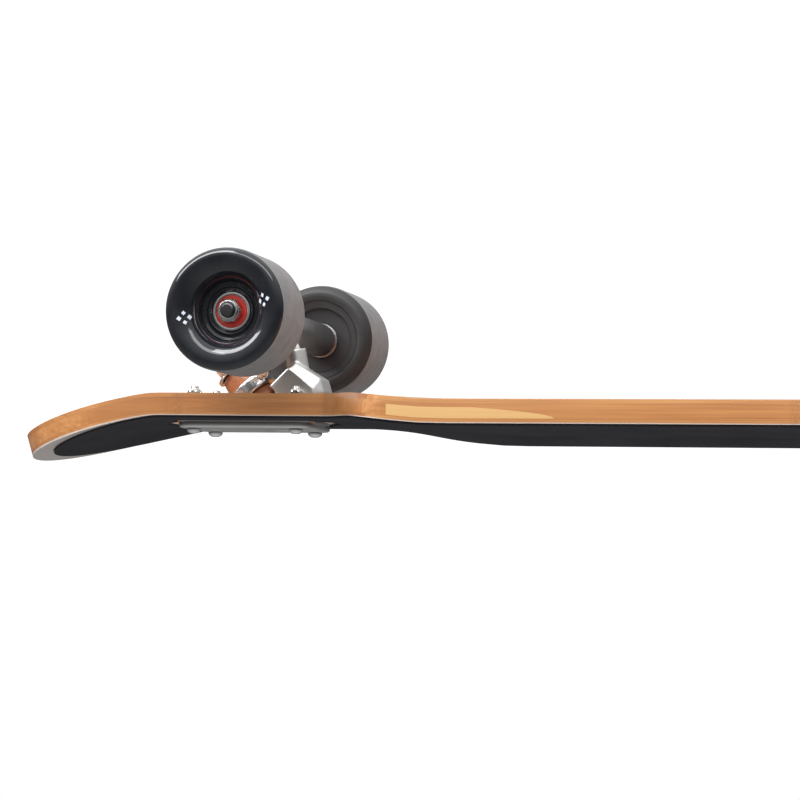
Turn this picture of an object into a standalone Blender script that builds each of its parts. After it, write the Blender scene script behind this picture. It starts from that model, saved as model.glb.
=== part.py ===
"""Electric drop-through longboard: a wooden deck on two sprung trucks, belt driven at the rear right wheel.

Frame: +X towards the nose, +Y to the rider's left, +Z up, origin on the floor below the middle of the deck.
Every truck part is made in its truck's own frame: x outwards (towards the near tip of the deck), z up,
origin at the middle of the axle. The rear truck's frame is the front one turned half a turn about Z.
"""
import math

import bmesh
import bpy
import numpy as np
from mathutils import Matrix, Vector

MM = 0.001
GAP = 0.3 * MM                      # clearance between pieces that touch

# Deck
DECK_LENGTH = 994 * MM
DECK_WIDTH = 240 * MM
DECK_THICKNESS = 13 * MM
DECK_UNDERSIDE = 78 * MM            # height of the underside at the necks
TIP_ROUND = 70 * MM                 # length of the elliptical end of the nose and tail
SHOULDER_START = 245 * MM
SHOULDER_END = 297 * MM
NECK_HALF_WIDTH = 60 * MM
NOSE_HALF_WIDTH = 66 * MM
NOSE_WIDE_FROM = 420 * MM
FLAT_HALF_WIDTH = 60 * MM           # flat band in the middle of the concave
PLATFORM_LIFT = 3 * MM             # of the wide platform above the necks
PLATFORM_END = 215 * MM
NECK_START = 300 * MM
RAIL_RISE = 4 * MM
RAIL_RAMP = 55 * MM
TIP_BEND_START = 398 * MM
TIP_RISE = 25.7 * MM
TIP_BEND_POWER = 1.25
GRIP_THICKNESS = 0.9 * MM
GRIP_GAP = 0.45 * MM
GRIP_SIDE_INSET = 4 * MM
GRIP_TIP_INSET = 13 * MM
DECK_TOP = DECK_UNDERSIDE + DECK_THICKNESS

# Trucks
AXLE_X = 337.5 * MM
AXLE_HEIGHT = 35 * MM
PATTERN_OUT = 17.5 * MM             # bolt pattern's centre, outwards from the axle
BOLT_SPACING_X = 63.5 * MM
BOLT_SPACING_Y = 41.3 * MM
PLATE_LENGTH = 82 * MM
PLATE_WIDTH = 58 * MM
PLATE_THICKNESS = 5 * MM
PLATE_CORNER = 8 * MM
HUMP_HALF_WIDTH = 14.5 * MM
KINGPIN_OFFSET = 41 * MM            # from the axle to the kingpin's axis, along the steering axis
KINGPIN_RADIUS = 5 * MM
RING_RADIUS = 16 * MM
RING_TOP = -9 * MM                  # positions along the kingpin's axis, away from the deck
RING_BOTTOM = -17 * MM
SEAT_POSITION = -27.5 * MM
TOWER_FACE = -21.8 * MM
STEER_ANGLE = math.radians(45)
PIVOT = Vector((-5.7, 0, 12.7)) * MM
BALL_RADIUS = 4.5 * MM
CUP_RADIUS = 5.8 * MM
BOSS_RADIUS = 7.4 * MM
ARM_RADIUS = 10.5 * MM
HANGER_HALF = 77 * MM
AXLE_RADIUS = 4 * MM
AXLE_HALF = 114 * MM

# Wheels
WHEEL_RADIUS = AXLE_HEIGHT
BEARING_RADIUS = 11 * MM
BEARING_WIDTH = 7 * MM
INNER_BEARING = 78 * MM             # distance of the inner bearing's inner face from the middle
OUTER_BEARING = 98 * MM

# Belt drive, on the rear truck's side that is the rider's right
MOTOR_AXIS = Vector((69.5, 0, 8)) * MM
MOTOR_RADIUS = 25 * MM
WHEEL_PULLEY_RADIUS = 28.4 * MM
MOTOR_PULLEY_RADIUS = 11.6 * MM
BELT_THICKNESS = 2.6 * MM

# Battery enclosure under the rear half
BOX_FRONT = 10 * MM
BOX_REAR = -195 * MM
BOX_HALF_WIDTH = 50 * MM
BOX_BOTTOM = 44 * MM
BOX_WALL = 2.5 * MM
FLANGE = 8 * MM
SEAL_THICKNESS = 1.5 * MM
BUTTON_X = BOX_FRONT - 28 * MM
PORT_X = BOX_FRONT - 76 * MM
FITTING_Z = 60 * MM

COS45 = math.cos(STEER_ANGLE)
KINGPIN_DIRECTION = Vector((COS45, 0, -COS45))
PIVOT_DIRECTION = Vector((-0.2, 0, 0.98)).normalized()
DECK_IN_TRUCK = DECK_UNDERSIDE - AXLE_HEIGHT
PLATE_BASE = DECK_TOP + GAP - AXLE_HEIGHT


# ---------------------------------------------------------------- helpers

def start_clean():
    for item in list(bpy.data.objects):
        bpy.data.objects.remove(item)


def new_collection(name):
    group = bpy.data.collections.new(name)
    bpy.context.scene.collection.children.link(group)
    return group


def finish(name, colour, roughness, metallic=0.0):
    """One plain surface finish."""
    mat = bpy.data.materials.new(name)
    mat.use_nodes = True
    shader = mat.node_tree.nodes["Principled BSDF"]
    shader.inputs["Base Color"].default_value = (*colour, 1)
    shader.inputs["Roughness"].default_value = roughness
    shader.inputs["Metallic"].default_value = metallic
    return mat


def add_object(name, bm, material=None, parent=None, matrix=None):
    """Puts a bmesh in the scene: with a material it's a piece, and without one a cutter."""
    mesh = bpy.data.meshes.new(name)
    if all(edge.is_manifold for edge in bm.edges):
        bmesh.ops.recalc_face_normals(bm, faces=bm.faces)
    bm.to_mesh(mesh)
    bm.free()
    item = bpy.data.objects.new(name, mesh)
    place(item, material, parent, matrix)
    return item


def place(item, material, parent, matrix):
    item.parent = parent
    if matrix is not None:
        item.matrix_local = matrix
    if material is None:
        CUTTERS.objects.link(item)
        item.hide_render = True
        item.display_type = "WIRE"
        return
    PARTS.objects.link(item)
    item.data.materials.append(material)


def along(direction, origin=(0, 0, 0)):
    """The matrix that stands local Z along a direction, at a point."""
    turn = Vector(direction).to_track_quat("Z", "Y").to_matrix().to_4x4()
    return Matrix.Translation(Vector(origin)) @ turn


def turned(name, profile, matrix, material=None, parent=None, steps=24, closed=False):
    """A turned solid. The profile holds (radius, height) pairs, down the outer side."""
    bm = bmesh.new()
    points = [bm.verts.new((radius, 0, height)) for radius, height in profile]
    pairs = list(zip(points, points[1:]))
    if closed:
        pairs.append((points[-1], points[0]))
    for pair in pairs:
        bm.edges.new(pair)
    mesh = bpy.data.meshes.new(name)
    bm.to_mesh(mesh)
    bm.free()
    item = bpy.data.objects.new(name, mesh)
    place(item, material, parent, matrix)
    screw = item.modifiers.new("Turn", "SCREW")
    screw.steps = steps
    screw.render_steps = steps
    screw.use_merge_vertices = True
    screw.merge_threshold = 1e-5
    screw.use_smooth_shade = False
    return item


def rod(name, radius, low, high, matrix, material=None, parent=None, steps=24):
    profile = [(0, high), (radius, high), (radius, low), (0, low)]
    return turned(name, profile, matrix, material, parent, steps)


def block(name, low, high, material=None, parent=None, corner=0, segments=3):
    """A box between two corners, its upright edges rounded."""
    bm = bmesh.new()
    bmesh.ops.create_cube(bm, size=1)
    low = Vector(low)
    high = Vector(high)
    size = high - low
    for vert in bm.verts:
        vert.co = low + Vector((vert.co[i] + 0.5) * size[i] for i in range(3))
    if corner:
        upright = [e for e in bm.edges if abs(e.verts[0].co.z - e.verts[1].co.z) > size.z / 2]
        bmesh.ops.bevel(bm, geom=upright, offset=corner, segments=segments, profile=0.5, affect="EDGES")
    return add_object(name, bm, material, parent)


def prism(name, outline, low, high, material=None, parent=None, narrow=None):
    """An outline in the XZ plane, pushed along Y. narrow(z) scales the width at a height."""
    bm = bmesh.new()
    face = bm.faces.new([bm.verts.new((x, low, z)) for x, z in outline])
    grown = bmesh.ops.extrude_face_region(bm, geom=[face])
    for item in grown["geom"]:
        if isinstance(item, bmesh.types.BMVert):
            item.co.y = high
    if narrow:
        for vert in bm.verts:
            vert.co.y *= narrow(vert.co.z)
    return add_object(name, bm, material, parent)


def belt_outline(first, first_radius, second, second_radius, steps=12):
    """The outline of a belt round two circles in the XZ plane."""
    span = Vector((second[0] - first[0], second[1] - first[1]))
    heading = math.atan2(span.y, span.x)
    lean = math.acos((first_radius - second_radius) / span.length)
    outline = []
    for centre, radius, start, sweep in (
        (first, first_radius, heading + lean, math.tau - 2 * lean),
        (second, second_radius, heading - lean, 2 * lean),
    ):
        for step in range(steps + 1):
            angle = start + sweep * step / steps
            outline.append((centre[0] + radius * math.cos(angle), centre[1] + radius * math.sin(angle)))
    return outline


def boolean(item, other, operation):
    step = item.modifiers.new(operation.title(), "BOOLEAN")
    step.operation = operation
    step.object = other
    step.solver = "EXACT"


def join(item, *others):
    for other in others:
        boolean(item, other, "UNION")


def cut(item, *others):
    for other in others:
        boolean(item, other, "DIFFERENCE")


def soften(item, width, segments=1, angle=40):
    bevel = item.modifiers.new("Round", "BEVEL")
    bevel.width = width
    bevel.segments = segments
    bevel.limit_method = "ANGLE"
    bevel.angle_limit = math.radians(angle)


def smooth_step(value):
    value = min(max(value, 0.0), 1.0)
    return value * value * (3 - 2 * value)


def on_kingpin(position):
    """A point on the kingpin's axis, in the truck's frame; position grows away from the deck."""
    foot = Vector((COS45, 0, COS45)) * KINGPIN_OFFSET
    return foot + KINGPIN_DIRECTION * position


def steering_point(run, lift):
    """(x, z) of a point at a distance along the steering axis, and off it along the kingpin's direction."""
    return (run + lift) * COS45, (run - lift) * COS45


# ---------------------------------------------------------------- deck and grip tape

def deck_half_width(x):
    """Half the deck's width at a distance from its middle."""
    x = abs(x)
    platform = DECK_WIDTH / 2
    if x < SHOULDER_END:
        blend = smooth_step((x - SHOULDER_START) / (SHOULDER_END - SHOULDER_START))
        return platform + (NECK_HALF_WIDTH - platform) * blend
    blend = smooth_step((x - SHOULDER_END) / (NOSE_WIDE_FROM - SHOULDER_END))
    return NECK_HALF_WIDTH + (NOSE_HALF_WIDTH - NECK_HALF_WIDTH) * blend


def deck_height(x, y):
    """Height of the underside: a lifted platform with raised rails, flat necks and bent-up tips."""
    platform = 1 - smooth_step((abs(x) - PLATFORM_END) / (NECK_START - PLATFORM_END))
    rail = RAIL_RISE * smooth_step((abs(y) - FLAT_HALF_WIDTH) / RAIL_RAMP)
    bend = max(abs(x) - TIP_BEND_START, 0) / (DECK_LENGTH / 2 - TIP_BEND_START)
    return DECK_UNDERSIDE + (PLATFORM_LIFT + rail) * platform + TIP_RISE * bend ** TIP_BEND_POWER


def deck_grid(side_inset=0.0, tip_inset=0.0, flat=False):
    """The deck's plan as a grid, its lines closer together where the outline turns."""
    half = DECK_LENGTH / 2
    bm = bmesh.new()
    bmesh.ops.create_grid(bm, x_segments=42, y_segments=10, size=1)
    shares = (0, 1 / 6, 1 / 2, 5 / 6, 1)
    stations = (0, SHOULDER_START - 5 * MM, SHOULDER_END + 3 * MM, half - TIP_ROUND, half)
    straight = half - TIP_ROUND - 30 * MM
    for vert in bm.verts:
        side = math.copysign(1, vert.co.x)
        across = math.sin(vert.co.y * math.pi / 2)
        reach = half - TIP_ROUND + TIP_ROUND * math.cos(vert.co.y * math.pi / 2) - tip_inset
        x = float(np.interp(abs(vert.co.x), shares, stations))
        if x > straight:
            x = straight + (x - straight) / (half - straight) * (reach - straight)
        y = across * (deck_half_width(x) - side_inset)
        vert.co = (side * x, y, 0 if flat else deck_height(x, y))
    return bm


def truck_slots(truck, name, grow=0.0):
    """Cutters for the opening that a truck hangs in: a wide middle and a narrow slot through it."""
    low = DECK_IN_TRUCK - 20 * MM
    high = DECK_IN_TRUCK + 40 * MM
    shapes = []
    for part, half_x, half_y in (("wide", 25.5 * MM, 24 * MM), ("slot", 51 * MM, 15 * MM)):
        shapes.append(block(
            f"{name}_{part}", (PATTERN_OUT - half_x - grow, -half_y - grow, low),
            (PATTERN_OUT + half_x + grow, half_y + grow, high), parent=truck, corner=5 * MM,
        ))
    return shapes


def bolt_places():
    return [
        Vector((PATTERN_OUT + i * BOLT_SPACING_X / 2, j * BOLT_SPACING_Y / 2, 0))
        for i in (-1, 1) for j in (-1, 1)
    ]


def bolt_holes(truck, name):
    holes = []
    for number, spot in enumerate(bolt_places()):
        holes.append(rod(f"{name}_{number}", 2.8 * MM, 30 * MM, 75 * MM, Matrix.Translation(spot), parent=truck,
                         steps=12))
    return holes


def make_deck(trucks):
    deck = add_object("deck", deck_grid(), WOOD)
    body = deck.modifiers.new("Plies", "SOLIDIFY")
    body.thickness = DECK_THICKNESS
    body.offset = 1
    soften(deck, 2.5 * MM, 2)
    for end, truck in trucks.items():
        cut(deck, *truck_slots(truck, f"{end}_deck_opening"), *bolt_holes(truck, f"{end}_deck_hole"))


def make_grip(trucks):
    bm = deck_grid()
    bm.normal_update()
    for vert in bm.verts:
        vert.co += vert.normal * (DECK_THICKNESS + GRIP_GAP)
    grip = add_object("grip_tape", bm, GRIT)
    sheet = grip.modifiers.new("Sheet", "SOLIDIFY")
    sheet.thickness = GRIP_THICKNESS
    sheet.offset = 1
    trim = add_object("grip_outline", deck_grid(GRIP_SIDE_INSET, GRIP_TIP_INSET, flat=True))
    depth = trim.modifiers.new("Depth", "SOLIDIFY")
    depth.thickness = 0.4
    depth.offset = 0
    boolean(grip, trim, "INTERSECT")
    margin = 3 * MM
    for end, truck in trucks.items():
        window = block(
            f"{end}_grip_window",
            (PATTERN_OUT - PLATE_LENGTH / 2 - margin, -PLATE_WIDTH / 2 - margin, 0),
            (PATTERN_OUT + PLATE_LENGTH / 2 + margin, PLATE_WIDTH / 2 + margin, 0.1),
            parent=truck, corner=PLATE_CORNER,
        )
        slot = truck_slots(truck, f"{end}_grip_slot", 1 * MM)[1]
        cut(grip, window, slot)


# ---------------------------------------------------------------- trucks

def tower(name, truck):
    """The part of the baseplate between the kingpin's seat and the pivot cup, its inboard edges chamfered."""
    inside = PLATE_BASE + 1.2 * MM
    seat = [steering_point(28.4 * MM, SEAT_POSITION), steering_point(28.4 * MM, TOWER_FACE)]
    foot = seat[0][0] + inside - seat[0][1]
    whole = [steering_point(10.6 * MM, TOWER_FACE), (-9.8, 21.0), (-25.6, 30.6), (-28.2, 39.5), (-24, 45)]
    side = [steering_point(14 * MM, TOWER_FACE), (-6.9, 25.1), (-22, 36.8), (-22.6, 41), (-21, 45)]
    rings = []
    for y, points in ((-HUMP_HALF_WIDTH, side), (-10 * MM, whole), (10 * MM, whole), (HUMP_HALF_WIDTH, side)):
        corners = points[:1] + [(x * MM, z * MM) for x, z in points[1:]]
        outline = [(foot, inside)] + seat + corners + [(corners[-1][0], inside)]
        rings.append([(x, y, z) for x, z in outline])
    bm = bmesh.new()
    rings = [[bm.verts.new(corner) for corner in ring] for ring in rings]
    for first, second in zip(rings, rings[1:]):
        for k in range(len(first)):
            n = (k + 1) % len(first)
            bm.faces.new((first[k], first[n], second[n], second[k]))
    bm.faces.new(rings[0])
    bm.faces.new(rings[-1])
    return add_object(name, bm, parent=truck)


def make_baseplate(end, truck):
    plate = block(
        f"{end}_baseplate",
        (PATTERN_OUT - PLATE_LENGTH / 2, -PLATE_WIDTH / 2, PLATE_BASE),
        (PATTERN_OUT + PLATE_LENGTH / 2, PLATE_WIDTH / 2, PLATE_BASE + PLATE_THICKNESS),
        CAST, truck, PLATE_CORNER,
    )
    soften(plate, 1 * MM, 1, 60)
    hump = tower(f"{end}_hump", truck)
    pivot = along(PIVOT_DIRECTION, PIVOT)
    boss = rod(f"{end}_boss", BOSS_RADIUS, 0.2 * MM, 17 * MM, pivot, parent=truck)
    join(plate, hump, boss)
    cut(plate, rod(f"{end}_pivot_bore", CUP_RADIUS + GAP, -5 * MM, 8.6 * MM, pivot, parent=truck))
    kingpin = along(KINGPIN_DIRECTION, on_kingpin(0))
    cut(plate, rod(f"{end}_kingpin_hole", KINGPIN_RADIUS + GAP, -60 * MM, -20 * MM, kingpin, parent=truck))
    cut(plate, rod(f"{end}_head_pocket", 9 * MM, -60 * MM, -33.4 * MM, kingpin, parent=truck))
    cut(plate, *bolt_holes(truck, f"{end}_plate_hole"))


def make_pivot_cup(end, truck):
    bowl = BALL_RADIUS + GAP
    profile = [(0, 8.3 * MM), (CUP_RADIUS, 8.3 * MM), (CUP_RADIUS, 0.6 * MM)]
    start = math.asin(0.6 * MM / bowl)
    for step in range(7):
        angle = start + (math.pi / 2 - start) * step / 6
        profile.append((bowl * math.cos(angle) if step < 6 else 0, bowl * math.sin(angle)))
    turned(f"{end}_pivot_cup", profile, along(PIVOT_DIRECTION, PIVOT), URETHANE, truck, 14)


def make_kingpin(end, truck):
    axis = along(KINGPIN_DIRECTION, on_kingpin(0))
    radius = KINGPIN_RADIUS
    profile = [
        (0, 15 * MM), (radius - 0.8 * MM, 15 * MM), (radius, 14.2 * MM), (radius, -33.7 * MM),
        (7.4 * MM, -33.7 * MM), (7.4 * MM, -36.8 * MM), (6.4 * MM, -37.8 * MM), (0, -37.8 * MM),
    ]
    turned(f"{end}_kingpin", profile, axis, STEEL, truck, 14)
    hex_nut(f"{end}_kingpin_nut", 8.6 * MM, 4.6 * MM, 12.5 * MM, radius + GAP, axis, truck)
    ring(f"{end}_boardside_washer", radius + GAP, 10.8 * MM, -27.2 * MM, -26 * MM, axis, STEEL, truck)
    ring(f"{end}_roadside_washer", radius + GAP, 11.5 * MM, 2.8 * MM, 4.3 * MM, axis, STEEL, truck)
    make_bushing(f"{end}_boardside_bushing", 12 * MM, 12 * MM, -25.7 * MM, -17.3 * MM, axis, truck)
    make_bushing(f"{end}_roadside_bushing", 12 * MM, 9.5 * MM, -8.7 * MM, 2.5 * MM, axis, truck)


def hex_nut(name, radius, low, high, bore, matrix, parent):
    chamfer = 0.8 * MM
    profile = [
        (0, high), (radius - chamfer, high), (radius, high - chamfer), (radius, low), (0, low),
    ]
    nut = turned(name, profile, matrix, STEEL, parent, 6)
    cut(nut, rod(name + "_bore", bore, low - 1 * MM, high + 1 * MM, matrix, parent=parent, steps=16))


def ring(name, bore, radius, low, high, matrix, material, parent, steps=16):
    profile = [(bore, high), (radius, high), (radius, low), (bore, low)]
    return turned(name, profile, matrix, material, parent, steps, closed=True)


def make_bushing(name, low_radius, high_radius, low, high, matrix, parent):
    """A barrel or cone of urethane with slightly rounded rims."""
    bore = KINGPIN_RADIUS + GAP
    rim = 1 * MM
    profile = [
        (bore, high), (high_radius - rim, high), (high_radius, high - rim),
        (low_radius, low + rim), (low_radius - rim, low), (bore, low),
    ]
    turned(name, profile, matrix, BUSHING, parent, 16, closed=True)


def make_hanger(end, truck):
    """The axle arm, the yoke up to the kingpin's ring, and the ball of the pivot."""
    sideways = along((0, 1, 0))
    half = HANGER_HALF
    tip = 1.5 * MM
    profile = [
        (0, half), (ARM_RADIUS - tip, half), (ARM_RADIUS, half - tip),
        (ARM_RADIUS, tip - half), (ARM_RADIUS - tip, -half), (0, -half),
    ]
    hanger = turned(f"{end}_hanger", profile, sideways, POLISHED, truck, 24)
    top = 27.6 * MM
    yoke = prism(
        f"{end}_yoke", belt_outline((5 * MM, 2 * MM), 5 * MM, (9.4 * MM, top), 3.6 * MM, 6),
        -28 * MM, 28 * MM, parent=truck, narrow=lambda z: 1 - 0.52 * max(z, 0) / top,
    )
    kingpin = along(KINGPIN_DIRECTION, on_kingpin(0))
    pivot = along(PIVOT_DIRECTION, PIVOT)
    collar = rod(f"{end}_collar", RING_RADIUS, RING_BOTTOM, RING_TOP, kingpin, parent=truck)
    join(hanger, yoke, collar)
    cut(hanger, rod(f"{end}_relief", 10 * MM, -1.4 * MM, 15 * MM, pivot, parent=truck))
    radius = BALL_RADIUS
    ball = [(radius * math.sin(a), radius * math.cos(a)) for a in (i * math.pi / 10 for i in range(8))]
    nub_profile = [(0, radius)] + ball[1:] + [(3.6 * MM, -radius), (3.6 * MM, -9 * MM), (0, -9 * MM)]
    nub = turned(f"{end}_nub", nub_profile, pivot, parent=truck, steps=16)
    join(hanger, nub)
    cut(hanger, rod(f"{end}_ring_bore", 8 * MM, -20 * MM, -5 * MM, kingpin, parent=truck))
    cut(hanger, rod(f"{end}_axle_bore", AXLE_RADIUS + GAP, -0.1, 0.1, sideways, parent=truck, steps=16))


def make_axle(end, truck):
    end_chamfer = 0.8 * MM
    profile = [
        (0, AXLE_HALF), (AXLE_RADIUS - end_chamfer, AXLE_HALF), (AXLE_RADIUS, AXLE_HALF - end_chamfer),
        (AXLE_RADIUS, end_chamfer - AXLE_HALF), (AXLE_RADIUS - end_chamfer, -AXLE_HALF), (0, -AXLE_HALF),
    ]
    turned(f"{end}_axle", profile, along((0, 1, 0)), STEEL, truck, 16)


def make_bolts(end, truck):
    """Mounting bolts with their lock nuts run on."""
    top = PLATE_BASE + PLATE_THICKNESS + GAP
    under = DECK_IN_TRUCK - GAP
    for number, spot in enumerate(bolt_places(), 1):
        shank = 2.4 * MM
        profile = [
            (0, top + 3 * MM), (2.6 * MM, top + 2.6 * MM), (4.4 * MM, top + 1 * MM), (4.4 * MM, top),
            (shank, top), (shank, under), (4.6 * MM, under), (4.6 * MM, under - 4 * MM),
            (shank, under - 4.8 * MM), (shank, under - 7 * MM), (0, under - 7 * MM),
        ]
        turned(f"{end}_mounting_bolt_{number}", profile, Matrix.Translation(spot), STEEL, truck, 8)


def make_truck(end, truck):
    make_baseplate(end, truck)
    make_pivot_cup(end, truck)
    make_kingpin(end, truck)
    make_hanger(end, truck)
    make_axle(end, truck)
    make_bolts(end, truck)


# ---------------------------------------------------------------- wheels

def make_wheel(name, truck, outward):
    """A urethane wheel with its two bearings and axle nut; outward is +1 or -1 along the truck's Y."""
    matrix = along((0, outward, 0))
    bore = BEARING_RADIUS + GAP
    inner = INNER_BEARING
    outer = OUTER_BEARING + BEARING_WIDTH
    radius = WHEEL_RADIUS
    profile = [
        (bore, outer + 0.5 * MM), (17 * MM, outer + 0.5 * MM), (18.5 * MM, outer + 4.5 * MM),
        (24 * MM, outer + 13.5 * MM), (28 * MM, outer + 16 * MM), (32.2 * MM, outer + 14.8 * MM),
        (radius, outer + 10 * MM), (radius, inner), (32.2 * MM, inner - 5.5 * MM), (28.5 * MM, inner - 7 * MM),
        (24 * MM, inner - 5 * MM), (20 * MM, inner), (bore, inner), (bore, inner + BEARING_WIDTH + GAP),
        (9 * MM, inner + BEARING_WIDTH + GAP), (9 * MM, OUTER_BEARING - GAP), (bore, OUTER_BEARING - GAP),
    ]
    turned(f"{name}_wheel", profile, matrix, WHEEL, truck, 32, closed=True)
    for place_name, start in (("inner", INNER_BEARING), ("outer", OUTER_BEARING)):
        ring(f"{name}_{place_name}_bearing", AXLE_RADIUS + GAP, BEARING_RADIUS, start,
             start + BEARING_WIDTH, matrix, RED, truck)
    hex_nut(f"{name}_axle_nut", 7.4 * MM, outer + GAP, outer + 7 * MM, AXLE_RADIUS + GAP, matrix, truck)


# ---------------------------------------------------------------- belt drive

def make_drive(truck):
    sideways = along((0, 1, 0))
    motor_axis = along((0, 1, 0), MOTOR_AXIS)
    inner = 60.2 * MM
    outer = 70.4 * MM
    bore = 12.2 * MM
    profile = [
        (bore, 77.6 * MM), (16 * MM, 77.6 * MM), (16 * MM, outer), (WHEEL_PULLEY_RADIUS, outer),
        (WHEEL_PULLEY_RADIUS, inner), (bore, inner),
    ]
    turned("wheel_pulley", profile, sideways, DARK_METAL, truck, 36, closed=True)
    ring("motor_pulley", 4.3 * MM, MOTOR_PULLEY_RADIUS, inner, outer, motor_axis, DARK_METAL, truck)
    make_belt(truck, inner + GAP, outer - GAP)
    make_motor_mount(truck)
    ring("motor_base", 4.4 * MM, 22 * MM, 49 * MM, 53.7 * MM, motor_axis, DARK_METAL, truck, 24)
    can = [
        (0, 71.5 * MM), (4 * MM, 71.5 * MM), (4 * MM, 48.6 * MM), (22 * MM, 48.6 * MM), (MOTOR_RADIUS, 47 * MM),
        (MOTOR_RADIUS, 20 * MM), (23 * MM, 18 * MM), (0, 18 * MM),
    ]
    turned("motor_can", can, motor_axis, BLACK_STEEL, truck, 28)


def drive_outline(first_radius, second_radius, steps=12):
    return belt_outline((0, 0), first_radius, (MOTOR_AXIS.x, MOTOR_AXIS.z), second_radius, steps)


def make_belt(truck, low, high):
    inner = (WHEEL_PULLEY_RADIUS + 0.5 * MM, MOTOR_PULLEY_RADIUS + 0.5 * MM)
    outline = drive_outline(inner[0] + BELT_THICKNESS, inner[1] + BELT_THICKNESS)
    belt = prism("drive_belt", outline, low, high, RUBBER, truck)
    cut(belt, prism("belt_inside", drive_outline(*inner), low - MM, high + MM, parent=truck))


def make_motor_mount(truck):
    low = 54 * MM
    high = 59 * MM
    plate = prism("motor_mount", drive_outline(18 * MM, 23 * MM), low, high, ANODISED, truck)
    cut(plate, rod("mount_arm_bore", ARM_RADIUS + GAP, 0.05, 0.065, along((0, 1, 0)), parent=truck, steps=28))
    cut(plate, rod("mount_shaft_bore", 9 * MM, 0.05, 0.065, along((0, 1, 0), MOTOR_AXIS), parent=truck))


# ---------------------------------------------------------------- battery enclosure

def make_enclosure():
    half = BOX_HALF_WIDTH
    seal_top = DECK_UNDERSIDE + PLATFORM_LIFT - GAP
    flange_top = seal_top - SEAL_THICKNESS - GAP
    wall = BOX_WALL
    tub = block("battery_enclosure", (BOX_REAR, -half, BOX_BOTTOM), (BOX_FRONT, half, flange_top - MM),
                SHELL, corner=12 * MM)
    soften(tub, 3 * MM, 2, 60)
    flange = block(
        "enclosure_flange", (BOX_REAR - FLANGE, -half - FLANGE, flange_top - wall),
        (BOX_FRONT + FLANGE, half + FLANGE, flange_top), corner=14 * MM,
    )
    inside = block("enclosure_inside", (BOX_REAR + wall, wall - half, BOX_BOTTOM + wall),
                   (BOX_FRONT - wall, half - wall, seal_top + 5 * MM), corner=10 * MM)
    join(tub, flange)
    cut(tub, inside)
    cut(tub, rod("button_hole", 6.4 * MM, -0.06, -0.04, along((0, 1, 0), (BUTTON_X, 0, FITTING_Z))))
    cut(tub, rod("port_hole", 7.4 * MM, -0.06, -0.04, along((0, 1, 0), (PORT_X, 0, FITTING_Z))))
    cut(tub, rod("gland_hole", 5.4 * MM, -10 * MM, 10 * MM, along((1, 0, 0), (BOX_REAR, 0, FITTING_Z))))
    seal = block(
        "enclosure_seal", (BOX_REAR - FLANGE, -half - FLANGE, seal_top - SEAL_THICKNESS),
        (BOX_FRONT + FLANGE, half + FLANGE, seal_top), RUBBER, corner=14 * MM,
    )
    cut(seal, inside)


def make_electrics():
    floor = BOX_BOTTOM + BOX_WALL + 1 * MM
    pack = block("battery_pack", (BOX_REAR + 12 * MM, -44 * MM, floor), (BOX_REAR + 116 * MM, 44 * MM, 73 * MM), WRAP,
                 corner=4 * MM)
    soften(pack, 2 * MM)
    board = block("motor_controller", (BOX_FRONT - 66 * MM, -40 * MM, floor), (BOX_FRONT - 12 * MM, 40 * MM, 64 * MM), DARK_METAL,
                  corner=3 * MM)
    soften(board, 1 * MM)
    out = along((0, -1, 0), (BUTTON_X, 0, FITTING_Z))
    button = [
        (0, 52.5 * MM), (5.2 * MM, 52.5 * MM), (6 * MM, 51.7 * MM), (6 * MM, 47.2 * MM),
        (8 * MM, 47.2 * MM), (8 * MM, 45.2 * MM), (0, 45.2 * MM),
    ]
    turned("power_button", button, out, BUTTON, steps=16)
    socket = [
        (0, 51.8 * MM), (9 * MM, 51.8 * MM), (9 * MM, 50.3 * MM), (7.1 * MM, 50.3 * MM), (7.1 * MM, 41 * MM),
        (0, 41 * MM),
    ]
    port = turned("charge_port", socket, along((0, -1, 0), (PORT_X, 0, FITTING_Z)), BUTTON, steps=16)
    half = 4.5 * MM
    cut(port, block("port_recess", (PORT_X - half, -60 * MM, FITTING_Z - half),
                    (PORT_X + half, -43.5 * MM, FITTING_Z + half)))
    gland = [
        (0, 8 * MM), (3.5 * MM, 8 * MM), (5.5 * MM, 6 * MM), (7.5 * MM, 4 * MM), (7.5 * MM, GAP),
        (5.1 * MM, GAP), (5.1 * MM, -5 * MM), (0, -5 * MM),
    ]
    turned("cable_gland", gland, along((-1, 0, 0), (BOX_REAR, 0, FITTING_Z)), RUBBER, steps=16)


# ---------------------------------------------------------------- assembly

def make_truck_frame(end, sign):
    frame = bpy.data.objects.new(f"{end}_truck_frame", None)
    PARTS.objects.link(frame)
    frame.location = (sign * AXLE_X, 0, AXLE_HEIGHT)
    if sign < 0:
        frame.rotation_euler = (0, 0, math.pi)
    return frame


start_clean()
PARTS = new_collection("electric_skateboard")
CUTTERS = new_collection("cutters")
WOOD = finish("bamboo", (0.58, 0.36, 0.13), 0.35)
GRIT = finish("grip", (0.02, 0.02, 0.025), 0.9)
CAST = finish("cast_aluminium", (0.6, 0.6, 0.6), 0.35, 1)
POLISHED = finish("polished_aluminium", (0.8, 0.8, 0.8), 0.15, 1)
STEEL = finish("steel", (0.6, 0.6, 0.6), 0.3, 1)
BLACK_STEEL = finish("black_steel", (0.05, 0.05, 0.05), 0.4, 1)
DARK_METAL = finish("dark_metal", (0.15, 0.15, 0.16), 0.4, 1)
ANODISED = finish("anodised_plate", (0.08, 0.08, 0.09), 0.4, 1)
WHEEL = finish("wheel_urethane", (0.02, 0.02, 0.02), 0.2)
BUSHING = finish("bushing_urethane", (0.5, 0.25, 0.05), 0.4)
URETHANE = finish("cup_urethane", (0.05, 0.05, 0.05), 0.5)
RED = finish("red_shield", (0.5, 0.02, 0.02), 0.4)
RUBBER = finish("rubber", (0.02, 0.02, 0.02), 0.7)
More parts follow.
